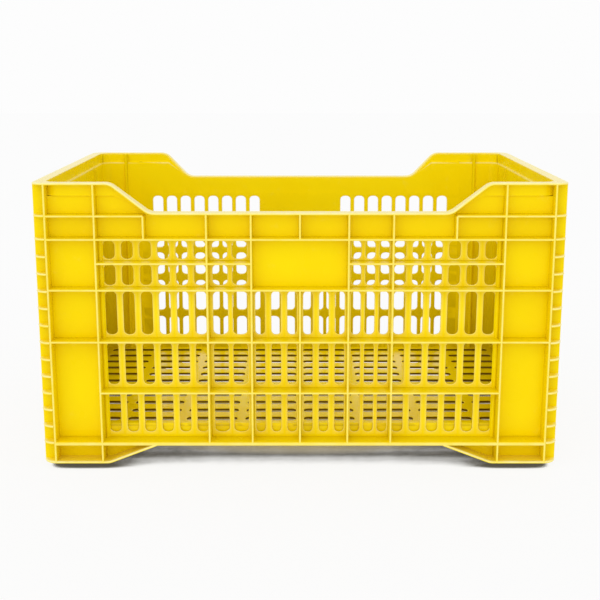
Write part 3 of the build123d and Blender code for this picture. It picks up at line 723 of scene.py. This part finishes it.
class CRATE_OT_end_walls(bpy.types.Operator):
    """Build the skins of the two end walls with their slots and hand holds"""

    bl_idname = "crate.end_walls"
    bl_label = "End walls"

    def execute(self, context):
        walls, ribs, rim = context.scene.crate_walls, context.scene.crate_ribs, context.scene.crate_rim
        slots = (walls.end_slot, walls.end_pitch, walls.end_count)
        outer = bay_cells(ribs.end_bay_rib, POST_Y, *slots)
        middle = bay_cells(-ribs.end_bay_rib, ribs.end_bay_rib, *slots)
        columns = np.concatenate([mirrored(outer), middle, outer])
        rows = slot_rows("left")
        slotted = np.repeat(np.arange(len(rows)) < TALL_ROWS, len(columns)).reshape(len(rows), -1)
        band_foot = rows[-1, 1]
        hand_head = (HAND_HEAD + LEDGE_UNDER) / 2
        half = HAND_HALF - rim.hand_lip
        hand_edge = (HAND_HALF + POST_Y) / 2
        side_middle, side_half = (hand_edge + POST_Y) / 2, (POST_Y - hand_edge) / 4
        hand_columns = np.array([
            [-POST_Y, -hand_edge, -side_middle, side_half, side_half],
            [-hand_edge, hand_edge, 0, half, rim.hand_round],
            [hand_edge, POST_Y, side_middle, side_half, side_half],
        ])
        hand_middle, hand_half = (HAND_FOOT + HAND_HEAD) / 2, (HAND_HEAD - HAND_FOOT) / 2 - rim.hand_lip
        hand_rows = np.array([[band_foot, hand_head, hand_middle, hand_half, rim.hand_round]])
        held = np.array([[False, True, False]])
        for side in END_SIDES:
            skin = Moulding()
            for bay, row, opened in ((columns, rows, slotted), (hand_columns, hand_rows, held)):
                slotted_sheet(skin, bay, row, opened, wall_place(side), SKIN, walls.slot_painted_shade)
            top = np.concatenate([[hand_head], ledge_lines()])
            across = cell_lines(hand_columns).reshape(-1)
            skin_sheet(skin, side, across, top, lambda u: hand_head + 0 * u, lambda u: HEIGHT + 0 * u)
            add_lower_skin(skin, side, POST_Y, ARCH_Y)
            nodes = [side + "_end_wall"] + [f"{end}_{side}_end_skirt" for end in LONG_SIDES]
            skin.finish(side + "_wall_skin", "Moulded HDPE", nodes, merged=True)
        return {"FINISHED"}


class CRATE_OT_posts(bpy.types.Operator):
    """Build the corner posts' skins and the stacking guides inside them"""

    bl_idname = "crate.posts"
    bl_label = "Corner posts"

    def execute(self, context):
        walls, ribs = context.scene.crate_walls, context.scene.crate_ribs
        centre = SHOULDER_INSET + walls.corner_round
        levels = np.concatenate([
            [FOOT_UNDER + RIM / 2],
            np.linspace(WALL_FOOT, LEDGE_UNDER, POST_STEPS + 1)[:-1],
            ledge_lines(),
        ])
        z = levels[:, None]
        turn = np.linspace(math.pi / 2, 0, CORNER_POINTS)
        for corner, signs in CORNERS.items():
            faces = []
            for share in (0, 1):
                side_depth, end_depth = skin_depth("front", z, share), skin_depth("left", z, share)
                radius = centre - end_depth
                a = np.concatenate([
                    POST_X + 0 * z, HALF_X - centre + radius * np.cos(turn), HALF_X - end_depth,
                ], axis=1)
                b = np.concatenate([
                    HALF_Y - side_depth, HALF_Y - side_depth - radius + radius * np.sin(turn), POST_Y + 0 * z,
                ], axis=1)
                faces.append(np.stack([signs[0] * a, signs[1] * b, z + 0 * a], axis=-1))
            skin = Moulding()
            skin.add_sheet(*faces)
            nodes = [corner + "_post", corner + "_foot"]
            skin.finish(corner + "_post_skin", "Moulded HDPE", nodes, merged=True)
        for side in LONG_SIDES + END_SIDES:
            guides = Moulding()
            on_long = side in LONG_SIDES
            place = POST_X + ribs.guide_place if on_long else POST_Y + ribs.guide / 2
            heights = [FLOOR_UNDER, LEDGE_UNDER, HEIGHT - RIM / 2] if on_long else [FLOOR_UNDER, LEDGE_UNDER]
            root = skin_depth(side, np.minimum(heights, LEDGE_UNDER), GUIDE_SINK)
            crest = root + ribs.guide + (1 - GUIDE_SINK) * SKIN
            for first in range(len(heights) - 1):
                span = np.s_[first:first + 2]
                for way in (-1, 1):
                    add_ribs(
                        guides, side, [[way * place, heights[first]]], [[way * place, heights[first + 1]]],
                        ribs.guide, True, crest[span], root[span], GUIDE_SHADE,
                    )
            posts = [corner + "_post" for corner in CORNERS if side in corner.split("_")]
            guides.finish(side + "_stacking_guides", "Moulded HDPE", posts)
        return {"FINISHED"}


def add_post_ribs(moulding, side, edge, corner):
    """Ribs on both post faces of a side: edge rib, corner rib and the level ribs between them."""
    ribs = bpy.context.scene.crate_ribs
    foot = FOOT_UNDER + RIM / 2
    heights = [foot, WALL_FOOT, LEDGE_UNDER, RIM_UNDER + RIM / 4]
    crossing = np.append(wall_levels(side)[[1, 2, 4]], LOW_RIM_UNDER)
    corner_round = bpy.context.scene.crate_walls.corner_round
    tuck = CORNER_TUCK * corner_round if side in LONG_SIDES else ribs.corner_rib - SHOULDER_INSET
    for way in (-1, 1):
        for place, extra in ((edge, 0.0), (corner, tuck)):
            for start, end in zip(heights[:-1], heights[1:]):
                root = skin_depth(side, np.array([start, end]), ROOT_SINK) + extra
                u = way * place
                add_ribs(moulding, side, [[u, start]], [[u, end]], ribs.rib, True, 0.0, root)
        for thick, tops in ((ribs.rib, crossing), (ribs.sill, np.array([SILL_UNDER + ribs.sill]))):
            middle = tops - thick / 2
            start = np.stack([np.full(len(tops), way * edge), middle], axis=1)
            end = np.stack([np.full(len(tops), way * corner), middle], axis=1)
            add_ribs(moulding, side, start, end, thick, False)
        round_start = corner + ribs.corner_rib - SHOULDER_INSET - corner_round
        z = np.array(heights[:3])[:, None]
        u = way * np.array([round_start, corner, corner, (round_start + corner) / 2])
        depth = skin_depth(side, z, 0) + np.array([0, 0, tuck, min(tuck, SKIN)])
        moulding.add(on_side(side, u, depth, z), closed=True, capped=True)


def add_wall_ribs(moulding, side, reach, level, uprights):
    """Level ribs from post to post and uprights, given as (u, foot, head), between them."""
    ribs = bpy.context.scene.crate_ribs
    for thick, tops in ((ribs.rib, level), (ribs.sill, np.array([SILL_UNDER + ribs.sill]))):
        middle = tops - thick / 2
        add_ribs(
            moulding, side, np.stack([0 * tops - reach, middle], axis=1),
            np.stack([0 * tops + reach, middle], axis=1), thick, False,
        )
    uprights = np.array(uprights)
    add_ribs(moulding, side, uprights[:, [0, 1]], uprights[:, [0, 2]], ribs.rib, True)


class CRATE_OT_long_ribs(bpy.types.Operator):
    """Build the ribs that stand on the long walls and on their posts"""

    bl_idname = "crate.long_ribs"
    bl_label = "Ribs of the long walls"

    def execute(self, context):
        ribs = context.scene.crate_ribs
        sill = SILL_UNDER + ribs.sill / 2
        half_rib = ribs.rib / 2
        band_rib = POST_X - ribs.band_gap
        for side in LONG_SIDES:
            frame_ribs = Moulding()
            levels = wall_levels(side)
            label_foot, short, band_foot = levels[2:]
            bay_rib = ribs.back_bay_rib if side == "back" else ribs.bay_rib
            uprights = [(0, sill, label_foot - half_rib), (0, band_foot - half_rib, LOW_RIM_UNDER + RIM / 2)]
            for way in (-1, 1):
                uprights.append((way * LABEL_X, sill, LOW_RIM_UNDER + RIM / 2))
                uprights.append((way * bay_rib, sill, LOW_RIM_UNDER + RIM / 2))
                uprights.append((way * band_rib, band_foot - half_rib, LOW_RIM_UNDER - half_rib))
                for top, inner in ((short, LABEL_X), (LOW_RIM_UNDER, band_rib)):
                    middle = top - half_rib
                    start, end = [[way * inner, middle]], [[way * POST_X, middle]]
                    add_ribs(frame_ribs, side, start, end, ribs.rib, False)
                step = way * (POST_X - half_rib - ribs.step_width / 2)
                ends = np.array([sill, band_foot])
                skin = skin_depth(side, ends, ROOT_SINK)
                add_ribs(
                    frame_ribs, side, [[step, ends[0]]], [[step, ends[1]]], ribs.step_width, True,
                    skin - ribs.step_height, skin, 0.0,
                )
            add_wall_ribs(frame_ribs, side, POST_X, np.delete(levels, 3), uprights)
            add_post_ribs(frame_ribs, side, POST_X, HALF_X - ribs.corner_rib)
            nodes = [f"{side}_rib_frame", f"{side}_left_post_ribs", f"{side}_right_post_ribs"]
            frame_ribs.finish(side + "_ribs", "Moulded HDPE", nodes)
        return {"FINISHED"}


class CRATE_OT_end_ribs(bpy.types.Operator):
    """Build the ribs that stand on the end walls and on their posts"""

    bl_idname = "crate.end_ribs"
    bl_label = "Ribs of the end walls"

    def execute(self, context):
        ribs = context.scene.crate_ribs
        half_rib = ribs.rib / 2
        sill = SILL_UNDER + ribs.sill / 2
        tops = wall_levels("left")
        for side in END_SIDES:
            frame_ribs = Moulding()
            uprights = []
            for way in (-1, 1):
                uprights.append((way * ribs.end_bay_rib, sill, tops[-1] - half_rib))
                uprights.append((way * ribs.end_band_rib, tops[-1] - half_rib, LEDGE_UNDER))
            add_wall_ribs(frame_ribs, side, POST_Y, tops, uprights)
            add_post_ribs(frame_ribs, side, POST_Y, HALF_Y - ribs.corner_rib)
            corners = [corner for corner in CORNERS if corner.endswith(side)]
            nodes = [side + "_rib_frame"] + [corner + "_corner_ribs" for corner in corners]
            frame_ribs.finish(side + "_ribs", "Moulded HDPE", nodes)
        return {"FINISHED"}


class CRATE_OT_corner_plates(bpy.types.Operator):
    """Build the close level plates round each corner"""

    bl_idname = "crate.corner_plates"
    bl_label = "Corner plates"

    def execute(self, context):
        ribs = context.scene.crate_ribs
        radius = ribs.corner_rib - ribs.rib / 2
        band_foot = wall_levels("front")[-1]
        tops = np.append(np.linspace(SILL_UNDER + ribs.sill, band_foot, ribs.corner_steps + 1), LOW_RIM_UNDER)
        turn = np.linspace(0, math.pi / 2, CORNER_POINTS)
        for corner, signs in CORNERS.items():
            plates = Moulding()
            for top in tops:
                rounded = np.stack([np.cos(turn), np.sin(turn), 0 * turn], axis=-1) * radius
                centre = np.array([HALF_X - radius, HALF_Y - radius, top])
                facing = np.array([signs[0], signs[1], 1])
                outer = (centre + rounded) * facing
                inner = (centre + PLATE_OPEN * rounded) * facing
                flange(plates, outer, inner, np.tile([0.0, 0, 1], (len(turn), 1)), ribs.rib, False)
            plates.finish(corner + "_corner_plates", "Moulded HDPE", [corner + "_corner_ribs"])
        return {"FINISHED"}


class CRATE_OT_rim(bpy.types.Operator):
    """Build the rim flange round the whole crate, down through both notches"""

    bl_idname = "crate.rim"
    bl_label = "Rim"

    def execute(self, context):
        sizes, walls = context.scene.crate_rim, context.scene.crate_walls
        radius = sizes.corner_round
        inner_radius = SHOULDER_INSET + walls.corner_round - RIM_INSET
        outer, inner, normal = [], [], []
        for number, side in enumerate(("front", "right", "back", "left")):
            reach = (HALF_X if side in LONG_SIDES else HALF_Y) - radius
            line = np.array([[-reach, reach], [HEIGHT, HEIGHT]])
            if side in LONG_SIDES:
                line = np.concatenate([line[:, :1], notch_line(side), line[:, 1:]], axis=1)
            u, z = line
            up = rim_normal(line)
            outer.append(on_side(side, u, 0, z))
            bend = reach + radius - RIM_INSET - inner_radius
            inner.append(on_side(side, np.clip(u, -bend, bend), skin_depth(side, z, 1), z))
            normal.append(on_side(side, u + up[0], 0, z + up[1]) - outer[-1])
            turn = math.pi / 2 * (number - 1 + np.linspace(0, 1, CORNER_POINTS + 2)[1:-1])
            circle = np.stack([np.cos(turn), np.sin(turn)], axis=-1)
            facing = np.sign(circle[len(turn) // 2])
            for edge, inset, bend in ((outer, 0, radius), (inner, RIM_INSET, inner_radius)):
                middle = facing * (np.array([HALF_X, HALF_Y]) - inset - bend)
                edge.append(np.concatenate([middle + bend * circle, np.full((len(turn), 1), HEIGHT)], axis=1))
            normal.append(np.tile([0.0, 0, 1], (len(turn), 1)))
        rim = Moulding()
        flange(rim, *(np.concatenate(part) for part in (outer, inner, normal)), RIM, True)
        nodes = [f"{side}_{part}_rim" for side in LONG_SIDES for part in ("left", "low", "right")]
        nodes += [side + "_end_rim" for side in END_SIDES] + [corner + "_corner_rim" for corner in CORNERS]
        rim.finish("rim_flange", "Handled HDPE", nodes)
        return {"FINISHED"}


class CRATE_OT_hand_holds(bpy.types.Operator):
    """Build the lips round the hand holds"""

    bl_idname = "crate.hand_holds"
    bl_label = "Hand holds"

    def execute(self, context):
        sizes = context.scene.crate_rim
        grow = sizes.hand_lip / 2
        angle, sign = round_corners(CORNER_POINTS)
        radius = sizes.hand_round + grow
        half = (HAND_HALF - grow, (HAND_HEAD - HAND_FOOT) / 2 - grow)
        middle = (HAND_FOOT + HAND_HEAD) / 2
        across, from_crest, from_root, at_root = rib_profile(sizes.hand_lip)
        for side in END_SIDES:
            root = skin_depth(side, middle, ROOT_SINK)
            depth = np.where(at_root > 0, root - from_root, from_crest)
            bend = radius + across
            u = (sign[0] * (half[0] - radius))[:, None] + np.cos(angle)[:, None] * bend
            z = middle + (sign[1] * (half[1] - radius))[:, None] + np.sin(angle)[:, None] * bend
            ring = on_side(side, u, depth, z)
            lip = Moulding()
            lip.add(np.concatenate([ring, ring[:1]]), RIB_HIGHLIGHT_AND_SHADE, closed=True)
            lip.finish(side + "_hand_lip", "Handled HDPE", [side + "_handhold_lip"], merged=True)
        return {"FINISHED"}


class CRATE_OT_floor(bpy.types.Operator):
    """Build the slotted floor with the rib under its border"""

    bl_idname = "crate.floor"
    bl_label = "Slotted floor"

    def execute(self, context):
        sizes, walls = context.scene.crate_floor, context.scene.crate_walls
        half_x, half_y = high("floor_grid", 0), high("floor_grid", 1)
        columns, rows = (
            bay_cells(-half, half, width, pitch, count, corner=2 * sizes.slot_round / width)
            for half, width, pitch, count in (
                (half_x, sizes.slot_length, sizes.column_pitch, sizes.columns),
                (half_y, sizes.slot_width, sizes.row_pitch, sizes.rows),
            )
        )
        bend = walls.corner_round - SKIN

        def place(x, y, share):
            """Points of the plate, drawn in to a circle where they pass the centre of a rounded corner."""
            x, y, share = np.broadcast_arrays(x, y, share)
            past = [np.maximum(np.abs(v) - half + bend, 0) for v, half in ((x, half_x), (y, half_y))]
            keep = np.minimum(1, bend / np.maximum(np.hypot(*past), 1e-9))
            x, y = (np.sign(v) * (np.abs(v) - p + p * keep) for v, p in zip((x, y), past))
            return np.stack([x, y, FLOOR_TOP - share * (FLOOR_TOP - FLOOR_UNDER)], axis=-1)

        floor = Moulding()
        slotted = np.ones((len(rows), len(columns)), bool)
        slotted_sheet(floor, columns, rows, slotted, place, FLOOR_TOP - FLOOR_UNDER, sizes.slot_painted_shade)
        # Painted shade that darkens the floor toward both ends
        to_end = np.abs(np.concatenate(floor.points)[:, 0]) - half_x + sizes.end_shade_reach
        end_shade = -sizes.end_painted_shade * np.clip(to_end / sizes.end_shade_reach, 0, 1)
        floor.wear_and_painted_light = [np.minimum(np.concatenate(floor.wear_and_painted_light), end_shade)]

        # The rib under the border closes the view below the floor through the feet of the wall slots
        angle, sign = round_corners(CORNER_POINTS)
        radius = bend - sizes.border_inset - sizes.border_rib * np.array([0, 0, 1, 1])
        x = (sign[0] * (half_x - bend))[:, None] + np.cos(angle)[:, None] * radius
        y = (sign[1] * (half_y - bend))[:, None] + np.sin(angle)[:, None] * radius
        z = np.array([(FLOOR_TOP + FLOOR_UNDER) / 2, FLOOR_UNDER - sizes.border_drop])[[0, 1, 1, 0]]
        ring = np.stack(np.broadcast_arrays(x, y, z), axis=-1)
        floor.add(np.concatenate([ring, ring[:1]]), closed=True)
        floor.finish("slotted_floor", "Scuffed HDPE", ["floor_grid"], merged=True)
        return {"FINISHED"}


class CRATE_OT_feet(bpy.types.Operator):
    """Build the feet: flanges that run up the arches, and the pads that nest in a rim"""

    bl_idname = "crate.feet"
    bl_label = "Feet"

    def execute(self, context):
        sizes = context.scene.crate_rim
        radius = sizes.corner_round
        away, z = arch_line()
        slope = np.gradient(z, away)
        steep = np.hypot(1, slope)
        turn = np.linspace(math.pi / 2, 0, CORNER_POINTS)
        flat, zero = np.zeros(len(turn)), np.zeros(len(away))
        inner = (HALF_X - sizes.foot_flange, HALF_Y - sizes.foot_flange)
        web = np.where(away > sizes.arch_start, 0.0, 1.0)
        side_width = FLOOR_INSET + SKIN + web * (sizes.foot_flange - FLOOR_INSET - SKIN)
        end_width = LEDGE_INSET + web * (sizes.foot_flange - LEDGE_INSET)

        # The flange comes down one arch, goes round the corner and runs up the other arch
        a = np.concatenate([(POST_X - away)[::-1], HALF_X - radius + radius * np.cos(turn), HALF_X + zero])
        b = np.concatenate([HALF_Y + zero, HALF_Y - radius + radius * np.sin(turn), POST_Y - away])
        inner_a = np.concatenate([(POST_X - away)[::-1], inner[0] + flat, HALF_X - end_width])
        inner_b = np.concatenate([(HALF_Y - side_width)[::-1], inner[1] + flat, POST_Y - away])
        under = np.concatenate([z[::-1], FOOT_UNDER + flat, z])
        normal = np.stack([
            np.concatenate([(slope / steep)[::-1], flat, zero]),
            np.concatenate([zero, flat, slope / steep]),
            np.concatenate([(1 / steep)[::-1], flat + 1, 1 / steep]),
        ], axis=-1)

        # The pad is an angle in plan that narrows downward and is rounded at its foot
        start_x, start_y = POST_X + sizes.pad_gap, POST_Y + sizes.pad_gap
        far_x, far_y = HALF_X - sizes.pad_inset, HALF_Y - sizes.pad_inset
        near_x, near_y = far_x - sizes.pad_width, far_y - sizes.pad_width
        pad = np.array([
            [start_x, near_y], [near_x, near_y], [near_x, start_y],
            [far_x, start_y], [far_x, far_y], [start_x, far_y],
        ])
        inward = np.array([[1, 1], [1, 1], [1, 1], [-1, 1], [-1, -1], [1, -1]])
        rounding = sizes.pad_round * np.array([0, 0, 1 / 3, 1])
        pad_z = np.append(FOOT_UNDER + RIM / 2, rounding[:0:-1])
        shrink = sizes.pad_draft * (1 - np.minimum(pad_z / FOOT_UNDER, 1)) + rounding
        rings = pad + shrink[:, None, None] * inward
        heights = np.broadcast_to(pad_z[:, None, None], (len(pad_z), len(pad), 1))
        rings = np.concatenate([rings, heights], axis=-1)

        for corner, signs in CORNERS.items():
            facing = np.array([signs[0], signs[1], 1])
            outer_points = (np.stack([a, b, under], axis=-1) + RIM * normal) * facing
            inner_points = (np.stack([inner_a, inner_b, under], axis=-1) + RIM * normal) * facing
            foot = Moulding()
            flange(foot, outer_points, inner_points, normal * facing, RIM, False)
            foot.add(rings * facing, PAD_WEAR, closed=True, capped=True)
            nodes = [f"{corner}_{part}" for part in ("foot", "side_skirt", "end_skirt")]
            foot.finish(corner + "_foot_flange", "Scuffed HDPE", nodes)
        return {"FINISHED"}


def linear(colour):
    """Scene colour from an sRGB hex value."""
    value = np.array([int(colour[place:place + 2], 16) for place in (1, 3, 5)]) / 255
    value = np.where(value <= 0.04045, value / 12.92, ((value + 0.055) / 1.055) ** 2.4)
    return (*value.tolist(), 1.0)


def add_node(tree, kind, inputs=None, **settings):
    """Adds a shader node, sets it, and gives each named input a value or a link."""
    node = tree.nodes.new(kind)
    for name, value in settings.items():
        setattr(node, name, value)
    for name, value in (inputs or {}).items():
        if isinstance(value, bpy.types.NodeSocket):
            tree.links.new(value, node.inputs[name])
        else:
            node.inputs[name].default_value = value
    return node


def seen_ray(tree):
    """Output that is 1 where the studio is looked at, also by reflection, and 0 where it gives light."""
    path = add_node(tree, "ShaderNodeLightPath").outputs
    seen = path["Is Camera Ray"]
    for ray in ("Is Glossy Ray", "Is Transmission Ray"):
        seen = add_node(tree, "ShaderNodeMath", {0: seen, 1: path[ray]}, operation="MAXIMUM").outputs[0]
    return seen


def moulded_plastic(name, colours, roughness, scratches, gloss):
    """Injection-moulded HDPE: a saturated yellow with a soft sheen, faint flow clouds, pale scratches,
    painted highlights along edges and painted shade in slots and corners.
    """
    material = bpy.data.materials.new(name)
    material.use_nodes = True
    tree = material.node_tree
    tree.nodes.clear()
    deep, body, pale, shade_brown = (
        linear(value) for value in (colours.deep, colours.body, colours.pale, colours.shade_brown)
    )
    place = add_node(tree, "ShaderNodeTexCoord").outputs["Object"]

    # Clouds left by the flow of the plastic: large walls don't look painted
    cloud = add_node(
        tree, "ShaderNodeTexNoise",
        {"Vector": place, "Scale": 1 / colours.flow_cloud, "Detail": 3.0, "Roughness": 0.5},
    ).outputs["Fac"]
    colour = add_node(
        tree, "ShaderNodeMix", {"Factor": cloud, "A": deep, "B": body}, data_type="RGBA",
    ).outputs["Result"]

    # Painted highlights on edges, crests and the ledge, wear on the pads and scratches are pale, and painted
    # shade in slots, at rib roots, low inside and at the floor's ends is brown
    patch_noise = add_node(
        tree, "ShaderNodeTexNoise",
        {"Vector": place, "Scale": 1 / colours.highlight_and_rub_patch, "Detail": 4.0, "Roughness": 0.6},
    ).outputs["Fac"]
    wear_and_painted_light = add_node(tree, "ShaderNodeAttribute", attribute_name="wear_and_painted_light").outputs["Fac"]
    highlighted_and_rubbed = add_node(tree, "ShaderNodeMath", {0: patch_noise, 1: wear_and_painted_light}, operation="MULTIPLY").outputs[0]
    painted_shade = add_node(tree, "ShaderNodeMapRange", {"Value": wear_and_painted_light, "From Min": 0.0, "From Max": -1.0}).outputs[0]
    scratch = add_node(tree, "ShaderNodeMapRange", {
        "Value": patch_noise, "From Min": colours.scratch_from, "From Max": colours.scratch_to, "To Max": scratches,
    }).outputs[0]
    highlight_and_wear = add_node(tree, "ShaderNodeMath", {0: highlighted_and_rubbed, 1: scratch}, operation="MAXIMUM").outputs[0]
    for share, shade in ((highlight_and_wear, pale), (painted_shade, shade_brown)):
        colour = add_node(
            tree, "ShaderNodeMix", {"Factor": share, "A": colour, "B": shade}, data_type="RGBA",
        ).outputs["Result"]

    # The mould's grain breaks up the highlights, and the sheen wanders with the clouds
    grain = add_node(
        tree, "ShaderNodeTexNoise", {"Vector": place, "Scale": 1 / colours.grain, "Detail": 2.0},
    ).outputs["Fac"]
    relief = add_node(tree, "ShaderNodeBump", {
        "Height": grain, "Strength": colours.grain_strength, "Distance": colours.grain_height,
    }).outputs["Normal"]
    sheen = add_node(tree, "ShaderNodeMapRange", {
        "Value": cloud,
        "To Min": roughness - colours.sheen_spread,
        "To Max": roughness + colours.sheen_spread,
    }).outputs[0]
    shader = add_node(tree, "ShaderNodeBsdfPrincipled", {
        "Base Color": colour, "Roughness": sheen, "IOR": 1.53, "Specular IOR Level": gloss, "Normal": relief,
    })
    add_node(tree, "ShaderNodeOutputMaterial", {"Surface": shader.outputs[0]})


class CRATE_OT_materials(bpy.types.Operator):
    """Make the plastics of the crate"""

    bl_idname = "crate.materials"
    bl_label = "Plastics"

    def execute(self, context):
        for name, finish in FINISHES.items():
            moulded_plastic(name, context.scene.crate_colours, *finish)
        return {"FINISHED"}


class CRATE_OT_stage(bpy.types.Operator):
    """Set up the white studio: floor, soft light, background and camera"""

    bl_idname = "crate.stage"
    bl_label = "Studio"

    def execute(self, context):
        sizes, white = context.scene.crate_stage, linear(context.scene.crate_colours.backdrop)
        half = sizes.floor_size / 2
        mesh = bpy.data.meshes.new("studio_floor")
        corners = [(-half, -half, 0), (half, -half, 0), (half, half, 0), (-half, half, 0)]
        mesh.from_pydata(corners, [], [(0, 1, 2, 3)])
        floor = bpy.data.objects.new("studio_floor", mesh)
        context.scene.collection.objects.link(floor)
        paper = bpy.data.materials.new("Studio paper")
        paper.use_nodes = True
        paper.node_tree.nodes.clear()
        tree = paper.node_tree
        matt = add_node(tree, "ShaderNodeBsdfDiffuse", {"Color": (sizes.paper, sizes.paper, sizes.paper, 1)})

        # White paper that darkens only where the crate stands close over it
        sky = add_node(tree, "ShaderNodeAmbientOcclusion", {"Distance": sizes.contact}, samples=32)
        shade = add_node(tree, "ShaderNodeMapRange", {
            "Value": sky.outputs["AO"], "From Min": sizes.shade_from, "From Max": sizes.shade_to,
            "To Min": sizes.deepest, "To Max": 1.0,
        }).outputs[0]
        glow = add_node(tree, "ShaderNodeEmission", {"Color": white, "Strength": shade})

        # Under the crate the paper takes the light as it falls
        place = add_node(tree, "ShaderNodeTexCoord").outputs["Object"]
        reach = (1 / HALF_X, 1 / (HALF_Y - sizes.under_edge), 0)
        spread = add_node(tree, "ShaderNodeVectorMath", {0: place, 1: reach}, operation="MULTIPLY").outputs[0]
        away = add_node(tree, "ShaderNodeVectorMath", {0: spread}, operation="LENGTH").outputs["Value"]
        clear = add_node(tree, "ShaderNodeMapRange", {
            "Value": away, "From Min": sizes.under_start, "From Max": 1.0, "To Max": sizes.paper_glow,
        }).outputs[0]
        least = {0: seen_ray(tree), 1: sizes.bounce}
        lift = add_node(tree, "ShaderNodeMath", least, operation="MAXIMUM").outputs[0]
        share = add_node(tree, "ShaderNodeMath", {0: lift, 1: clear}, operation="MULTIPLY").outputs[0]
        look = add_node(tree, "ShaderNodeMixShader", {0: share, 1: matt.outputs[0], 2: glow.outputs[0]})
        add_node(tree, "ShaderNodeOutputMaterial", {"Surface": look.outputs[0]})
        mesh.materials.append(paper)

        world = bpy.data.worlds.new("Studio")
        context.scene.world = world
        world.use_nodes = True
        tree = world.node_tree
        tree.nodes.clear()
        light = add_node(tree, "ShaderNodeBackground", {"Color": (1, 1, 1, 1), "Strength": sizes.sky})
        backdrop = add_node(tree, "ShaderNodeBackground", {"Color": white, "Strength": 1.0})
        around = {0: seen_ray(tree), 1: light.outputs[0], 2: backdrop.outputs[0]}
        look = add_node(tree, "ShaderNodeMixShader", around)
        add_node(tree, "ShaderNodeOutputWorld", {"Surface": look.outputs[0]})

        lamp = bpy.data.lights.new("Soft lamp", "SUN")
        lamp.energy = sizes.lamp
        lamp.angle = sizes.lamp_angle
        soft = bpy.data.objects.new("soft_lamp", lamp)
        soft.rotation_euler = (sizes.lamp_tilt, 0, -sizes.lamp_turn)
        context.scene.collection.objects.link(soft)

        camera = bpy.data.objects.new("camera", bpy.data.cameras.new("camera"))
        camera.data.lens = sizes.lens
        camera.data.sensor_width = sizes.sensor
        camera.location = (0, -sizes.camera_back, sizes.camera_up)
        camera.rotation_euler = (math.pi / 2 - sizes.camera_pitch, 0, 0)
        context.scene.collection.objects.link(camera)
        context.scene.camera = camera
        context.scene.view_settings.view_transform = "Standard"
        return {"FINISHED"}


class CRATE_PT_panel(bpy.types.Panel):
    """Sidebar with the sizes and the steps of the crate"""

    bl_idname = "CRATE_PT_panel"
    bl_label = "Harvest crate"
    bl_space_type = "VIEW_3D"
    bl_region_type = "UI"
    bl_category = "Crate"

    def draw(self, context):
        for group in SETTINGS:
            values = getattr(context.scene, group)
            box = self.layout.box()
            for name in values.bl_rna.properties.keys():
                if name not in ("rna_type", "name"):
                    box.prop(values, name)
        for step in STEPS:
            self.layout.operator(step.bl_idname)


SETTINGS = {
    "crate_walls": CrateWallSizes,
    "crate_ribs": CrateRibSizes,
    "crate_rim": CrateRimSizes,
    "crate_floor": CrateFloorSizes,
    "crate_colours": CrateColours,
    "crate_stage": CrateStageSizes,
}
STEPS = (
    CRATE_OT_materials,
    CRATE_OT_long_walls,
    CRATE_OT_end_walls,
    CRATE_OT_posts,
    CRATE_OT_long_ribs,
    CRATE_OT_end_ribs,
    CRATE_OT_corner_plates,
    CRATE_OT_rim,
    CRATE_OT_hand_holds,
    CRATE_OT_floor,
    CRATE_OT_feet,
    CRATE_OT_stage,
)


def register():
    """Registers the settings, the steps and the panel."""
    for name, group in SETTINGS.items():
        bpy.utils.register_class(group)
        setattr(bpy.types.Scene, name, PointerProperty(type=group))
    for step in STEPS + (CRATE_PT_panel,):
        bpy.utils.register_class(step)


def unregister():
    """Removes the panel, the steps and the settings again."""
    for step in reversed(STEPS + (CRATE_PT_panel,)):
        bpy.utils.unregister_class(step)
    for name, group in SETTINGS.items():
        delattr(bpy.types.Scene, name)
        bpy.utils.unregister_class(group)


def main():
    """Builds the crate and its studio."""
    register()
    for step in STEPS:
        group, name = step.bl_idname.split(".")
        getattr(getattr(bpy.ops, group), name)()


if __name__ == "__main__":
    main()
